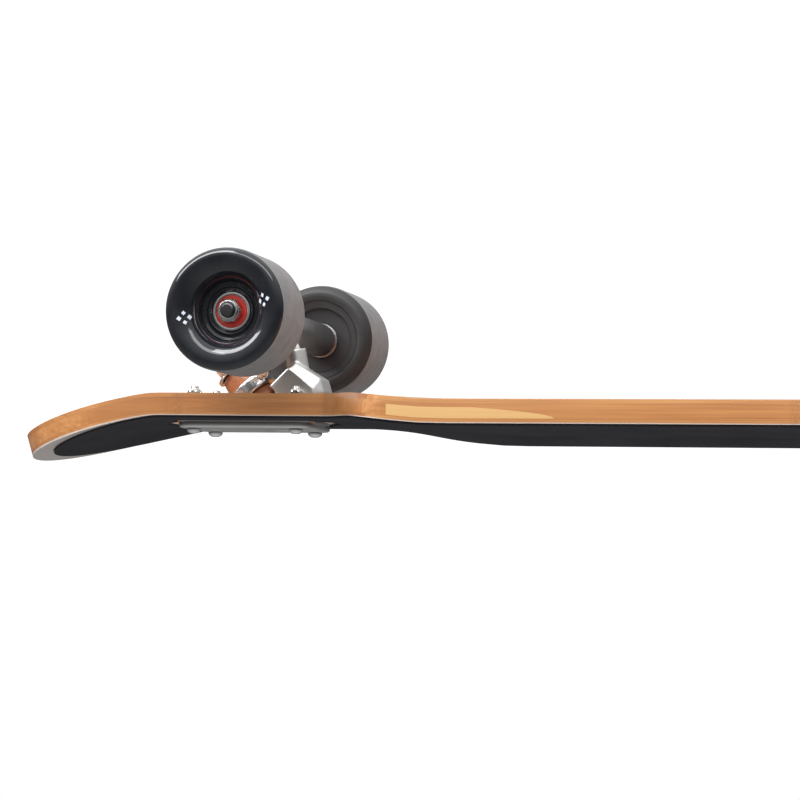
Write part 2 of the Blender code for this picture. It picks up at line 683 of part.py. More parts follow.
SHELL = finish("enclosure_shell", (0.03, 0.03, 0.03), 0.5)
WRAP = finish("battery_wrap", (0.02, 0.1, 0.35), 0.4)
BUTTON = finish("fitting_plastic", (0.1, 0.1, 0.1), 0.4)

TRUCKS = {"front": make_truck_frame("front", 1), "rear": make_truck_frame("rear", -1)}
bpy.context.view_layer.update()
make_deck(TRUCKS)
make_grip(TRUCKS)
for end_name, truck_frame in TRUCKS.items():
    make_truck(end_name, truck_frame)
make_wheel("front_left", TRUCKS["front"], 1)
make_wheel("front_right", TRUCKS["front"], -1)
make_wheel("rear_right", TRUCKS["rear"], 1)
make_wheel("rear_left", TRUCKS["rear"], -1)
make_drive(TRUCKS["rear"])
make_enclosure()
make_electrics()
bpy.context.view_layer.update()
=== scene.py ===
"""Looks of the electric longboard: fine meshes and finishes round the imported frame.

Metres, in the frame's axes: +X to the nose, +Y to the rider's left, +Z up. Every truck piece is made in its
truck's own frame: x outwards, z up, origin at the middle of the axle; the rear truck is the front one
turned half a turn about Z.
"""
import math

import bmesh
import bpy
import numpy as np
from mathutils import Matrix, Vector


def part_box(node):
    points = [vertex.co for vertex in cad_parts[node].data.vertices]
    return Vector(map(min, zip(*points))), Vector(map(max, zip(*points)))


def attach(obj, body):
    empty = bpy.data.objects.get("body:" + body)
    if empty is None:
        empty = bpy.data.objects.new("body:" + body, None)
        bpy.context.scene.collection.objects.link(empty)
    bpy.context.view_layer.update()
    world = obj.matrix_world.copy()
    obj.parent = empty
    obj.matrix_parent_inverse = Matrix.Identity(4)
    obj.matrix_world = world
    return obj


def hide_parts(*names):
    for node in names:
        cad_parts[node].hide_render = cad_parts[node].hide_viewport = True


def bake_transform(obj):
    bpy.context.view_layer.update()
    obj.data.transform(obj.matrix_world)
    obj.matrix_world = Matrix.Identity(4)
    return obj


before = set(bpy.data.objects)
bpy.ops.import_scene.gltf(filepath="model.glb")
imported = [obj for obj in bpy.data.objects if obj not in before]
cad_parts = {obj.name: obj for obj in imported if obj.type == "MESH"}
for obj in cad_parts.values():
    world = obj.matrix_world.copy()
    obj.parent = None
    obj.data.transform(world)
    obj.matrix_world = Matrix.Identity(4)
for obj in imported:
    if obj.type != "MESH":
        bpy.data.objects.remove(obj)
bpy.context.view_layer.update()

MM = 0.001
WELD_DISTANCE = 0.01 * MM


def middle(node):
    low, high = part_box(node)
    return (Vector(low) + Vector(high)) / 2


# Deck: the same plan and heights as the CAD deck
DECK_LOW, DECK_HIGH = (Vector(corner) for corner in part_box("deck"))
DECK_HALF = DECK_HIGH.x
PLATFORM_HALF = DECK_HIGH.y
DECK_UNDERSIDE = DECK_LOW.z
DECK_THICKNESS = 13 * MM
TIP_ROUND = 70 * MM
SHOULDER_START = 245 * MM
SHOULDER_END = 297 * MM
NECK_HALF_WIDTH = 60 * MM
NOSE_HALF_WIDTH = 66 * MM
NOSE_WIDE_FROM = 420 * MM
FLAT_HALF_WIDTH = 60 * MM
PLATFORM_LIFT = 3 * MM
PLATFORM_END = 215 * MM
NECK_START = 300 * MM
RAIL_RISE = 4 * MM
RAIL_RAMP = 55 * MM
TIP_BEND_START = 398 * MM
TIP_RISE = 25.3 * MM
TIP_BEND_POWER = 1.25
TIP_BEND_SOFTNESS = 0.0016
UNDERSIDE_ROUND = 5.5 * MM
GRIP_LIFT = 0.35 * MM
GRIP_THICKNESS = 0.9 * MM
GRIP_SIDE_INSET = 3.5 * MM
GRIP_TIP_INSET = 13 * MM

# Trucks
AXLE = middle("front_axle")
AXLE_X = AXLE.x
AXLE_HEIGHT = AXLE.z
AXLE_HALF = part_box("front_axle")[1][1]
AXLE_RADIUS = 4 * MM
PATTERN_OUT = 17.5 * MM
BOLT_SPACING_X = 63.5 * MM
BOLT_SPACING_Y = 41.3 * MM
PLATE_LENGTH = 82 * MM
PLATE_WIDTH = 58 * MM
PLATE_BASE = DECK_UNDERSIDE + DECK_THICKNESS + 0.3 * MM - AXLE_HEIGHT
PLATE_TOP = PLATE_BASE + 5 * MM
NUT_SEAT = DECK_UNDERSIDE - AXLE_HEIGHT
KINGPIN_OFFSET = 41 * MM
COS45 = math.cos(math.radians(45))
KINGPIN_DIRECTION = Vector((COS45, 0, -COS45))
KINGPIN_FOOT = Vector((COS45, 0, COS45)) * KINGPIN_OFFSET
MOTOR_AXIS = Vector((69.5, 0, 8)) * MM
BELT_LOW, BELT_HIGH = 60.6 * MM, 70 * MM
PULLEY_LOW, PULLEY_HIGH = 60.4 * MM, 70.3 * MM

# Wheels, distances from the middle of the axle
WHEEL_RADIUS = AXLE_HEIGHT
INNER_BEARING = 78 * MM
OUTER_BEARING = 98 * MM
BEARING_WIDTH = 7 * MM
BEARING_RADIUS = 11 * MM
NEAR_SIDE = OUTER_BEARING + BEARING_WIDTH
DISH_PEAK = 30
DISH_WIDTH = 12.8
DISH_DEPTH = 14.5

TRUCKS = {
    "front": Matrix.Translation((AXLE_X, 0, AXLE_HEIGHT)),
    "rear": Matrix.Translation((-AXLE_X, 0, AXLE_HEIGHT)) @ Matrix.Rotation(math.pi, 4, "Z"),
}

# Camera angles are yaw, pitch and roll in degrees; the world's greys run from straight down to straight up
CAMERA_PLACE = (-0.0947, -1.4309, 0.1721)
CAMERA_ANGLES = (14.12, -3.66, 1.09)
CAMERA_LENS = 111.9
WORLD_GREYS = ((0, 1.7), (0.2, 1.0), (0.38, 0.4), (0.48, 0.11), (0.6, 0.14), (1, 0.6))

WHEELS = {
    "front_left": ("front", 1), "front_right": ("front", -1),
    "rear_right": ("rear", 1), "rear_left": ("rear", -1),
}


# ---------------------------------------------------------------- shader helpers

class Finish:
    """A material built from nodes."""

    def __init__(self, name, roughness=0.5, metallic=0.0, colour=(0.5, 0.5, 0.5)):
        self.material = bpy.data.materials.new(name)
        self.material.use_nodes = True
        self.nodes = self.material.node_tree.nodes
        self.links = self.material.node_tree.links
        self.shader = self.nodes["Principled BSDF"]
        self.set("Roughness", roughness)
        self.set("Metallic", metallic)
        self.set("Base Color", (*colour, 1))
        self.place = self.add("ShaderNodeTexCoord").outputs["Object"]

    def set(self, socket, value):
        if isinstance(value, bpy.types.NodeSocket):
            self.links.new(value, self.shader.inputs[socket])
        else:
            self.shader.inputs[socket].default_value = value

    def add(self, kind, inputs=None, **settings):
        node = self.nodes.new(kind)
        for key, value in settings.items():
            setattr(node, key, value)
        for key, value in (inputs or {}).items():
            if isinstance(value, bpy.types.NodeSocket):
                self.links.new(value, node.inputs[key])
            else:
                node.inputs[key].default_value = value
        return node

    def math(self, operation, first, second=0.0, third=0.0):
        node = self.add("ShaderNodeMath", {0: first, 1: second, 2: third}, operation=operation)
        return node.outputs[0]

    def stretch(self, scale, source=None):
        node = self.add("ShaderNodeMapping", {"Vector": source or self.place, "Scale": scale})
        return node.outputs[0]

    def noise(self, scale, detail=4.0, roughness=0.55, source=None, distortion=0.0):
        node = self.add("ShaderNodeTexNoise", {
            "Vector": source or self.place, "Scale": scale, "Detail": detail, "Roughness": roughness,
            "Distortion": distortion,
        })
        return node.outputs[0]

    def ramp(self, value, stops, linear=True):
        """Colours or greys along a value; stops are (place, colour or grey)."""
        node = self.add("ShaderNodeValToRGB", {"Fac": value})
        elements = node.color_ramp.elements
        while len(elements) < len(stops):
            elements.new(0.5)
        for element, (spot, colour) in zip(elements, stops):
            element.position = spot
            element.color = (*colour, 1) if isinstance(colour, tuple) else (colour, colour, colour, 1)
        node.color_ramp.interpolation = "LINEAR" if linear else "EASE"
        return node.outputs["Color"]

    def mix(self, share, first, second, blend="MIX"):
        node = self.add("ShaderNodeMix", {0: share}, data_type="RGBA", blend_type=blend)
        for index, value in ((6, first), (7, second)):
            if isinstance(value, bpy.types.NodeSocket):
                self.links.new(value, node.inputs[index])
            else:
                node.inputs[index].default_value = (*value, 1)
        return node.outputs[2]

    def bump(self, height, distance, strength=1.0, under=None):
        inputs = {"Height": height, "Distance": distance, "Strength": strength}
        if under:
            inputs["Normal"] = under
        node = self.add("ShaderNodeBump", inputs)
        self.links.new(node.outputs[0], self.shader.inputs["Normal"])
        return node.outputs[0]

    def split(self, source=None):
        return self.add("ShaderNodeSeparateXYZ", {0: source or self.place}).outputs


def metal(name, colour, roughness, grain=0.12, grain_scale=900.0, smudge=0.25, metallic=1.0):
    """Metal with a fine grain and soft smudges in its gloss."""
    finish = Finish(name, roughness, metallic, colour)
    fine = finish.noise(grain_scale, 3.0)
    broad = finish.noise(45.0, 3.0)
    gloss = finish.math("MULTIPLY_ADD", fine, grain, roughness - grain / 2)
    gloss = finish.math("MULTIPLY_ADD", broad, smudge * 0.4, gloss)
    finish.set("Roughness", finish.math("SUBTRACT", gloss, smudge * 0.2))
    tone = finish.ramp(broad, [(0.3, tuple(c * 0.86 for c in colour)), (0.7, colour)])
    finish.set("Base Color", tone)
    finish.bump(fine, 0.02 * MM, 0.25)
    return finish.material


def make_bamboo():
    """Lacquered bamboo in glued strips: face plies over a core laid on edge."""
    finish = Finish("bamboo", 0.38)
    x, y, z = finish.split()
    depth = finish.add("ShaderNodeAttribute", attribute_name="depth").outputs["Fac"]
    above = finish.math("GREATER_THAN", depth, 0.2)
    core = finish.math("MULTIPLY", above, finish.math("LESS_THAN", depth, 0.84))

    def strips(width, length, seed):
        """A random number for each strip, and the distance from its long joint."""
        row = finish.math("DIVIDE", y, width)
        number = finish.math("FLOOR", row)
        shift = finish.add("ShaderNodeTexWhiteNoise", {"W": finish.math("ADD", number, seed)},
                           noise_dimensions="1D").outputs["Value"]
        along = finish.math("FLOOR", finish.math("ADD", finish.math("DIVIDE", x, length), finish.math(
            "MULTIPLY", shift, 7.0)))
        code = finish.math("MULTIPLY_ADD", along, 17.31, finish.math("ADD", number, seed))
        tint = finish.add("ShaderNodeTexWhiteNoise", {"W": code}, noise_dimensions="1D").outputs["Value"]
        joint = finish.math("ABSOLUTE", finish.math("SUBTRACT", finish.math("FRACT", row), 0.5))
        return tint, joint

    face_tint, face_joint = strips(19 * MM, 0.62, 3.0)
    core_tint, core_joint = strips(6.5 * MM, 0.31, 40.0)
    tint = finish.add("ShaderNodeMix", {0: core, 2: face_tint, 3: core_tint}, data_type="FLOAT").outputs[0]
    joint = finish.add("ShaderNodeMix", {0: core, 2: face_joint, 3: core_joint}, data_type="FLOAT").outputs[0]
    fibres = finish.noise(1.0, 5.0, 0.6, finish.stretch((14, 900, 900)))
    streaks = finish.noise(1.0, 3.0, 0.5, finish.stretch((5, 330, 330)))
    clouds = finish.noise(1.0, 3.0, 0.5, finish.stretch((9, 60, 90)), 0.4)
    base = finish.ramp(tint, [
        (0.0, (0.35, 0.125, 0.035)), (0.35, (0.44, 0.17, 0.048)), (0.7, (0.51, 0.21, 0.062)),
        (1.0, (0.58, 0.27, 0.09)),
    ])
    base = finish.mix(finish.ramp(fibres, [(0.38, 0.0), (0.66, 0.5)]), base, (0.33, 0.115, 0.03))
    base = finish.mix(finish.ramp(streaks, [(0.46, 0.0), (0.7, 0.6)]), base, (0.30, 0.10, 0.028))
    base = finish.mix(finish.ramp(clouds, [(0.35, 0.0), (0.75, 0.45)]), base, (0.60, 0.30, 0.11))
    base = finish.mix(finish.ramp(joint, [(0.47, 0.0), (0.498, 0.2)]), base, (0.30, 0.12, 0.04))
    pale = finish.mix(finish.ramp(fibres, [(0.4, 0.0), (0.7, 0.2)]), (0.66, 0.40, 0.16), (0.50, 0.25, 0.085))
    base = finish.mix(lens_mask(finish, x, depth), base, pale)
    glue = finish.math("ABSOLUTE", finish.math("SUBTRACT", finish.math("ABSOLUTE", finish.math(
        "SUBTRACT", depth, 0.52)), 0.32))
    base = finish.mix(finish.ramp(glue, [(0.006, 0.5), (0.02, 0.0)]), base, (0.28, 0.12, 0.04))
    base = finish.mix(node_marks(finish, x, y), base, (0.30, 0.12, 0.045))
    # The bare top face and the top of the rail are mixed most of the way to a whitish grey.
    bare_top_grey = finish.ramp(depth, [(0.955, 0.0), (0.985, 0.8)])
    base = finish.mix(bare_top_grey, base, (0.62, 0.60, 0.58))
    finish.set("Base Color", base)
    finish.set("Coat Weight", 0.7)
    finish.set("Coat Roughness", 0.24)
    finish.bump(fibres, 0.05 * MM, 0.35)
    return finish.material


def lens_mask(finish, x, depth):
    """The pale strip that the shaped edge lays open near each shoulder, running out to a point."""
    start, full, end = 150 * MM, 196 * MM, 243 * MM
    out = finish.math("ABSOLUTE", x)
    run = finish.math("DIVIDE", finish.math("SUBTRACT", out, start), full - start)
    rise = finish.math("MINIMUM", run, 1.0)
    rise = finish.math("SQRT", finish.math("MAXIMUM", rise, 0.0))
    roof = finish.math("MULTIPLY_ADD", rise, -0.46, 0.80)
    above = finish.math("GREATER_THAN", depth, roof)
    below = finish.math("LESS_THAN", depth, 0.80)
    side = finish.math("LESS_THAN", out, end)
    flank = finish.add("ShaderNodeNewGeometry").outputs["Normal"]
    upright = finish.math("LESS_THAN", finish.math("ABSOLUTE", finish.split(flank)[2]), 0.8)
    within = finish.math("MULTIPLY", above, below)
    mask = finish.math("MULTIPLY", within, finish.math("MULTIPLY", side, upright))
    return finish.math("MULTIPLY", mask, finish.math("GREATER_THAN", out, start))


def node_marks(finish, x, y):
    """The short brown bands where a bamboo cane had its nodes."""
    row = finish.math("FLOOR", finish.math("DIVIDE", y, 19 * MM))
    shift = finish.add("ShaderNodeTexWhiteNoise", {"W": row}, noise_dimensions="1D").outputs["Value"]
    place = finish.math("FRACT", finish.math("ADD", finish.math("DIVIDE", x, 0.27), finish.math(
        "MULTIPLY", shift, 3.7)))
    away = finish.math("ABSOLUTE", finish.math("SUBTRACT", place, 0.5))
    band = finish.ramp(away, [(0.006, 0.55), (0.016, 0.0)])
    speckle = finish.ramp(finish.noise(900.0, 3.0), [(0.42, 0.0), (0.6, 1.0)])
    return finish.math("MULTIPLY", band, speckle)


def make_grip():
    """Black abrasive sheet: dense grit with a few brighter grains."""
    finish = Finish("grip", 0.95)
    finish.set("Specular IOR Level", 0.25)
    grit = finish.add("ShaderNodeTexVoronoi", {"Vector": finish.place, "Scale": 1500.0}).outputs
    patches = finish.noise(22.0, 3.0)
    dark = finish.ramp(patches, [(0.3, (0.020, 0.020, 0.024)), (0.7, (0.034, 0.033, 0.040))])
    sparkle = finish.ramp(grit["Color"], [(0.93, 0.0), (0.97, 0.3)])
    finish.set("Base Color", finish.mix(sparkle, dark, (0.22, 0.22, 0.25)))
    finish.bump(grit["Distance"], 0.25 * MM, 0.7)
    return finish.material


def make_wheel_face():
    """Glossy cast urethane with the faintest ripple."""
    finish = Finish("wheel_face", 0.13, 0.0, (0.010, 0.011, 0.014))
    dust = finish.noise(70.0, 5.0)
    finish.set("Roughness", finish.ramp(dust, [(0.45, 0.07), (0.8, 0.15)]))
    finish.set("Base Color", finish.ramp(dust, [(0.45, (0.009, 0.010, 0.013)), (0.8, (0.018, 0.019, 0.023))]))
    finish.bump(finish.noise(60.0, 2.0), 0.08 * MM, 0.3)
    return finish.material


def make_tread():
    """The running surface, scuffed matt and dusty round its circumference."""
    finish = Finish("wheel_tread", 0.75)
    finish.set("Specular IOR Level", 0.3)
    scuffs = finish.noise(1.0, 6.0, 0.65, finish.stretch((60, 1400, 60)))
    dust = finish.noise(130.0, 5.0, 0.7)
    grey = finish.ramp(scuffs, [(0.3, (0.150, 0.150, 0.155)), (0.7, (0.235, 0.235, 0.243))])
    dusty = finish.ramp(dust, [(0.45, 0.0), (0.8, 0.5)])
    finish.set("Base Color", finish.mix(dusty, grey, (0.30, 0.30, 0.305)))
    finish.bump(scuffs, 0.12 * MM, 0.5)
    return finish.material


def plastic(name, colour, roughness, texture=0.0, scale=700.0, lift=1.6):
    """Moulded plastic or rubber, its texture as fine bumps and its tone slightly uneven."""
    finish = Finish(name, roughness)
    uneven = finish.noise(38.0, 4.0)
    finish.set("Base Color", finish.ramp(uneven, [(0.35, colour), (0.75, tuple(c * lift for c in colour))]))
    finish.set("Roughness", finish.math("MULTIPLY_ADD", uneven, 0.16, roughness - 0.08))
    finish.bump(finish.noise(scale, 3.0), 0.1 * MM, 0.15 + texture)
    return finish.material


def glow(name, colour):
    finish = Finish(name, 0.25, 0.0, colour)
    finish.set("Emission Color", (*colour, 1))
    finish.set("Emission Strength", 0.6)
    pattern = finish.noise(300.0, 2.0)
    finish.set("Base Color", finish.ramp(pattern, [(0.3, tuple(c * 0.7 for c in colour)), (0.7, colour)]))
    return finish.material


def make_finishes():
    return {
        "bamboo": make_bamboo(),
        "grip": make_grip(),
        "wheel_face": make_wheel_face(),
        "wheel_tread": make_tread(),
        "wheel_back": plastic("wheel_back", (0.014, 0.014, 0.016), 0.55, 0.1, 500.0),
        "cast": metal("cast_aluminium", (0.66, 0.66, 0.65), 0.38, 0.2, 1400.0, 0.3),
        "polished": metal("polished_aluminium", (0.80, 0.79, 0.79), 0.24, 0.1, 900.0, 0.2),
        "steel": metal("steel", (0.76, 0.76, 0.76), 0.24, 0.12),
        "dark_steel": metal("dark_steel", (0.10, 0.10, 0.105), 0.38, 0.15),
        "dark_metal": metal("dark_metal", (0.07, 0.07, 0.075), 0.42, 0.2),
        "anodised": metal("anodised_plate", (0.035, 0.035, 0.04), 0.4, 0.15),
        "copper": metal("copper_wire", (0.72, 0.30, 0.12), 0.3, 0.2, 1800.0),
        "bushing": plastic("bushing_urethane", (0.24, 0.085, 0.035), 0.25),
        "cup": plastic("cup_urethane", (0.03, 0.03, 0.03), 0.5),
        "red": plastic("red_shield", (0.66, 0.045, 0.03), 0.34, 0.1, 900.0, 1.25),
        "rubber": plastic("rubber", (0.014, 0.014, 0.014), 0.68, 0.3),
        "shell": plastic("enclosure_shell", (0.017, 0.017, 0.018), 0.55, 0.6, 1300.0),
        "wrap": plastic("battery_wrap", (0.01, 0.07, 0.3), 0.35),
        "fitting": plastic("fitting_plastic", (0.02, 0.02, 0.022), 0.35),
        "print": plastic("white_print", (0.62, 0.66, 0.74), 0.5, 0.0, 700.0, 1.2),
        "nylon": plastic("nylon_insert", (0.55, 0.55, 0.52), 0.5, 0.0, 700.0, 1.1),
        "lamp": glow("level_lamp", (0.1, 0.75, 0.25)),
        "mark": glow("button_ring", (0.7, 0.75, 0.8)),
    }


# ---------------------------------------------------------------- mesh helpers

def new_object(name, data):
    item = bpy.data.objects.new(name, data)
    bpy.context.scene.collection.objects.link(item)
    return item


def add_piece(name, bm, material, body, replaced=(), sharp=32, matrix=None):
    """Turns a bmesh into a finished piece on its body."""
    mesh = bpy.data.meshes.new(name)
    if matrix is not None:
        bm.transform(matrix)
    bmesh.ops.recalc_face_normals(bm, faces=bm.faces)
    bm.to_mesh(mesh)
    bm.free()
    materials = material if isinstance(material, (list, tuple)) else [material]
    for one in materials:
        mesh.materials.append(one)
    piece = new_object(name, mesh)
    smooth(piece.data, sharp)
    settle(piece, body, replaced)
    return piece


def settle(piece, body, replaced=()):
    """Joins a piece to its body. A soft piece that crosses a joint has (body, body, start, end) instead, and
    is only baked in place, on no body.
    """
    if isinstance(body, str):
        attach(piece, body)
    else:
        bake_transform(piece)
    if replaced:
        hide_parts(*replaced)


def smooth(mesh, sharp):
    mesh.shade_smooth()
    mesh.set_sharp_from_angle(angle=math.radians(sharp))


def apply_modifiers(piece):
    """Replaces the mesh by what its modifiers make of it."""
    graph = bpy.context.evaluated_depsgraph_get()
    graph.update()
    done = bpy.data.meshes.new_from_object(piece.evaluated_get(graph))
    piece.modifiers.clear()
    piece.data = done


def in_mm(*points):
    """Profile points, written in millimetres."""
    return [(radius * MM, height * MM) for radius, height in points]


def along(direction, origin=(0, 0, 0)):
    turn = Vector(direction).to_track_quat("Z", "Y").to_matrix().to_4x4()
    return Matrix.Translation(Vector(origin)) @ turn


def fillet(profile, radius, steps=3, closed=False):
    """A profile with its corners rounded off; a corner on the axis stays."""
    count = len(profile)
    result = []
    for index, point in enumerate(profile):
        if not closed and index in (0, count - 1) or point[0] < 1e-6:
            result.append(point)
            continue
        corner = Vector(point)
        before = Vector(profile[index - 1]) - corner
        after = Vector(profile[(index + 1) % count]) - corner
        reach = min(radius, before.length * 0.48, after.length * 0.48)
        first = corner + before.normalized() * reach
        last = corner + after.normalized() * reach
        for step in range(steps + 1):
            t = step / steps
            spot = first * (1 - t) ** 2 + corner * 2 * t * (1 - t) + last * t ** 2
            result.append((spot.x, spot.y))
    return result


def lathe(profile, steps=96, closed=False):
    """A turned solid about Z, as a bmesh; the profile holds (radius, height) pairs."""
    bm = bmesh.new()
    rings = []
    for radius, height in profile:
        if radius < 1e-7:
            rings.append([bm.verts.new((0, 0, height))])
            continue
        turns = [math.tau * k / steps for k in range(steps)]
        rings.append([bm.verts.new((radius * math.cos(a), radius * math.sin(a), height)) for a in turns])
    pairs = list(zip(rings, rings[1:]))
    if closed:
        pairs.append((rings[-1], rings[0]))
    for first, second in pairs:
        for k in range(steps):
            corners = [first[k % len(first)], first[(k + 1) % len(first)],
                       second[(k + 1) % len(second)], second[k % len(second)]]
            unique = list(dict.fromkeys(corners))
            if len(unique) > 2:
                bm.faces.new(unique)
    return bm


def turned(name, profile, matrix, material, body, replaced=(), radius=0.5 * MM, steps=96, closed=False,
           sharp=32):
    bm = lathe(fillet(profile, radius, 3, closed), steps, closed)
    return add_piece(name, bm, material, body, replaced, sharp, matrix)


def hexagon(name, width, low, high, bore, matrix, material, body, replaced=()):
    """A nut or bolt head: a hexagon whose corners are turned down, with a bore if asked."""
    profile = [(bore, high), (width * 0.5, high), (width * 0.58, high - 0.7 * MM),
               (width * 0.58, low + 0.7 * MM), (width * 0.5, low), (bore, low)]
    bm = lathe(profile, 72, closed=bore > 0)
    for vert in bm.verts:
        radius = math.hypot(vert.co.x, vert.co.y)
        if radius < width * 0.45:
            continue
        angle = math.atan2(vert.co.y, vert.co.x) % math.radians(60) - math.radians(30)
        flat = width * 0.5 / math.cos(angle)
        if radius > flat:
            vert.co.x *= flat / radius
            vert.co.y *= flat / radius
    return add_piece(name, bm, material, body, replaced, 24, matrix)


def box_mesh(low, high, corner=0.0, segments=6):
    """A box between two corners, its upright edges rounded."""
    bm = bmesh.new()
    bmesh.ops.create_cube(bm, size=1)
    low = Vector(low)
    size = Vector(high) - low
    for vert in bm.verts:
        vert.co = low + Vector((vert.co[i] + 0.5) * size[i] for i in range(3))
    if corner:
        upright = [e for e in bm.edges if abs(e.verts[0].co.z - e.verts[1].co.z) > size.z / 2]
        bmesh.ops.bevel(bm, geom=upright, offset=corner, segments=segments, profile=0.5, affect="EDGES")
    return bm


def prism_mesh(outline, low, high):
    """An outline in the XZ plane, pushed along Y."""
    bm = bmesh.new()
    face = bm.faces.new([bm.verts.new((x, low, z)) for x, z in outline])
    grown = bmesh.ops.extrude_face_region(bm, geom=[face])
    for item in grown["geom"]:
        if isinstance(item, bmesh.types.BMVert):
            item.co.y = high
    return bm


def cutter(bm, matrix=None):
    """A hidden solid for a Boolean, removed once it has cut."""
    mesh = bpy.data.meshes.new("cutter")
    if matrix is not None:
        bm.transform(matrix)
    bmesh.ops.recalc_face_normals(bm, faces=bm.faces)
    bm.to_mesh(mesh)
    bm.free()
    item = new_object("cutter", mesh)
    item.hide_render = True
    return item


def carve(piece, tools):
    """Cuts the tools out of a piece."""
    for tool in tools:
        step = piece.modifiers.new("Cut", "BOOLEAN")
        step.operation = "DIFFERENCE"
        step.object = tool
        step.solver = "EXACT"
    apply_modifiers(piece)
    for tool in tools:
        bpy.data.objects.remove(tool)


def bevel(piece, width, segments, angle):
    step = piece.modifiers.new("Round", "BEVEL")
    step.width = width
    step.segments = segments
    step.limit_method = "ANGLE"
    step.angle_limit = math.radians(angle)


def repaint(node, material):
    """Gives a CAD node that keeps its own mesh another material."""
    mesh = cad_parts[node].data
    mesh.materials.clear()
    mesh.materials.append(material)


def copy_node(node, name, material):
    """A welded copy of a CAD node's mesh, not yet riding on anything."""
    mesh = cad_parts[node].data.copy()
    mesh.materials.clear()
    mesh.materials.append(material)
    piece = new_object(name, mesh)
    weld = piece.modifiers.new("Weld", "WELD")
    weld.merge_threshold = WELD_DISTANCE
    return piece


def cast_copy(node, name, material, body, voxel, rounds):
    """A CAD node remade with the soft corners of a casting: fine voxels, then smoothing."""
    piece = copy_node(node, name, material)
    remesh = piece.modifiers.new("Voxels", "REMESH")
    remesh.mode = "VOXEL"
    remesh.voxel_size = voxel
    remesh.adaptivity = 0.0
    relax = piece.modifiers.new("Relax", "SMOOTH")
    relax.factor = 0.5
    relax.iterations = rounds
    apply_modifiers(piece)
    smooth(piece.data, 60)
    settle(piece, body, [node])


# ---------------------------------------------------------------- deck and grip tape

def smooth_step(value):
    value = min(max(value, 0.0), 1.0)
    return value * value * (3 - 2 * value)


def deck_half_width(x):
    x = abs(x)
    if x < SHOULDER_END:
        blend = smooth_step((x - SHOULDER_START) / (SHOULDER_END - SHOULDER_START))
        return PLATFORM_HALF + (NECK_HALF_WIDTH - PLATFORM_HALF) * blend
    blend = smooth_step((x - SHOULDER_END) / (NOSE_WIDE_FROM - SHOULDER_END))
    return NECK_HALF_WIDTH + (NOSE_HALF_WIDTH - NECK_HALF_WIDTH) * blend


def deck_height(x, y):
    """Height of the underside above the floor."""
    platform = 1 - smooth_step((abs(x) - PLATFORM_END) / (NECK_START - PLATFORM_END))
    rail = RAIL_RISE * smooth_step((abs(y) - FLAT_HALF_WIDTH) / RAIL_RAMP)
    run = (abs(x) - TIP_BEND_START) / (DECK_HALF - TIP_BEND_START)
    bend = (run + math.sqrt(run * run + TIP_BEND_SOFTNESS)) / 2
    return DECK_UNDERSIDE + (PLATFORM_LIFT + rail) * platform + TIP_RISE * bend ** TIP_BEND_POWER


def deck_grid(side_inset=0.0, tip_inset=0.0):
    """The deck's underside as a fine grid, its lines closer where the outline turns."""
    bm = bmesh.new()
    bmesh.ops.create_grid(bm, x_segments=200, y_segments=44, size=1)
    shares = (0, 0.16, 0.48, 0.82, 1)
    stations = (0, SHOULDER_START - 5 * MM, SHOULDER_END + 3 * MM, DECK_HALF - TIP_ROUND, DECK_HALF)
    straight = DECK_HALF - TIP_ROUND - 30 * MM
    for vert in bm.verts:
        side = math.copysign(1, vert.co.x)
        angle = vert.co.y * math.pi / 2
        reach = DECK_HALF - TIP_ROUND + TIP_ROUND * math.cos(angle) - tip_inset
        x = float(np.interp(abs(vert.co.x), shares, stations))
        if x > straight:
            x = straight + (x - straight) / (DECK_HALF - straight) * (reach - straight)
        y = math.sin(angle) * (deck_half_width(x) - side_inset)
        vert.co = (side * x, y, deck_height(x, y))
    return bm


def truck_opening(truck, part, grow=0.0):
    half_x, half_y = {"wide": (25.5 * MM, 24 * MM), "slot": (51 * MM, 15 * MM)}[part]
    low = (PATTERN_OUT - half_x - grow, -half_y - grow, NUT_SEAT - 20 * MM)
    high = (PATTERN_OUT + half_x + grow, half_y + grow, NUT_SEAT + 40 * MM)
    return cutter(box_mesh(low, high, 5 * MM), truck)


def bolt_places():
    return [
        Vector((PATTERN_OUT + i * BOLT_SPACING_X / 2, j * BOLT_SPACING_Y / 2, 0))
        for i in (-1, 1) for j in (-1, 1)
    ]


def raise_surface(bm, height):
    bm.normal_update()
    lifts = [(vert, vert.normal * height) for vert in bm.verts]
    for vert, lift in lifts:
        vert.co += lift


def sheet_piece(name, bm, thickness, material):
    """A grid thickened upwards, not yet riding on anything."""
    mesh = bpy.data.meshes.new(name)
    bm.to_mesh(mesh)
    bm.free()
    mesh.materials.append(material)
    piece = new_object(name, mesh)
    body = piece.modifiers.new("Body", "SOLIDIFY")
    body.thickness = thickness
    body.offset = 1
    return piece


def store_depth(mesh):
    """How far each point is through the deck: 0 at the underside and 1 at the top."""
    layer = mesh.attributes.new("depth", "FLOAT", "POINT")
    values = [(v.co.z - deck_height(v.co.x, v.co.y)) / DECK_THICKNESS for v in mesh.vertices]
    layer.data.foreach_set("value", values)


def round_rails(deck):
    """Rounds the outer edges: wide along the underside and tight along the top."""
    store_depth(deck.data)
    depth = deck.data.attributes["depth"].data
    bm = bmesh.new()
    bm.from_mesh(deck.data)
    bm.normal_update()
    weights = bm.edges.layers.float.new("bevel_weight_edge")
    for edge in bm.edges:
        if len(edge.link_faces) == 2 and edge.calc_face_angle() > math.radians(50):
            level = sum(depth[vert.index].value for vert in edge.verts) / 2
            edge[weights] = 1.0 if level < 0.5 else 0.3
    bm.to_mesh(deck.data)
    bm.free()
    step = deck.modifiers.new("Round", "BEVEL")
    step.width = UNDERSIDE_ROUND
    step.segments = 5
    step.limit_method = "WEIGHT"
    apply_modifiers(deck)
    deck.data.attributes.remove(deck.data.attributes["depth"])


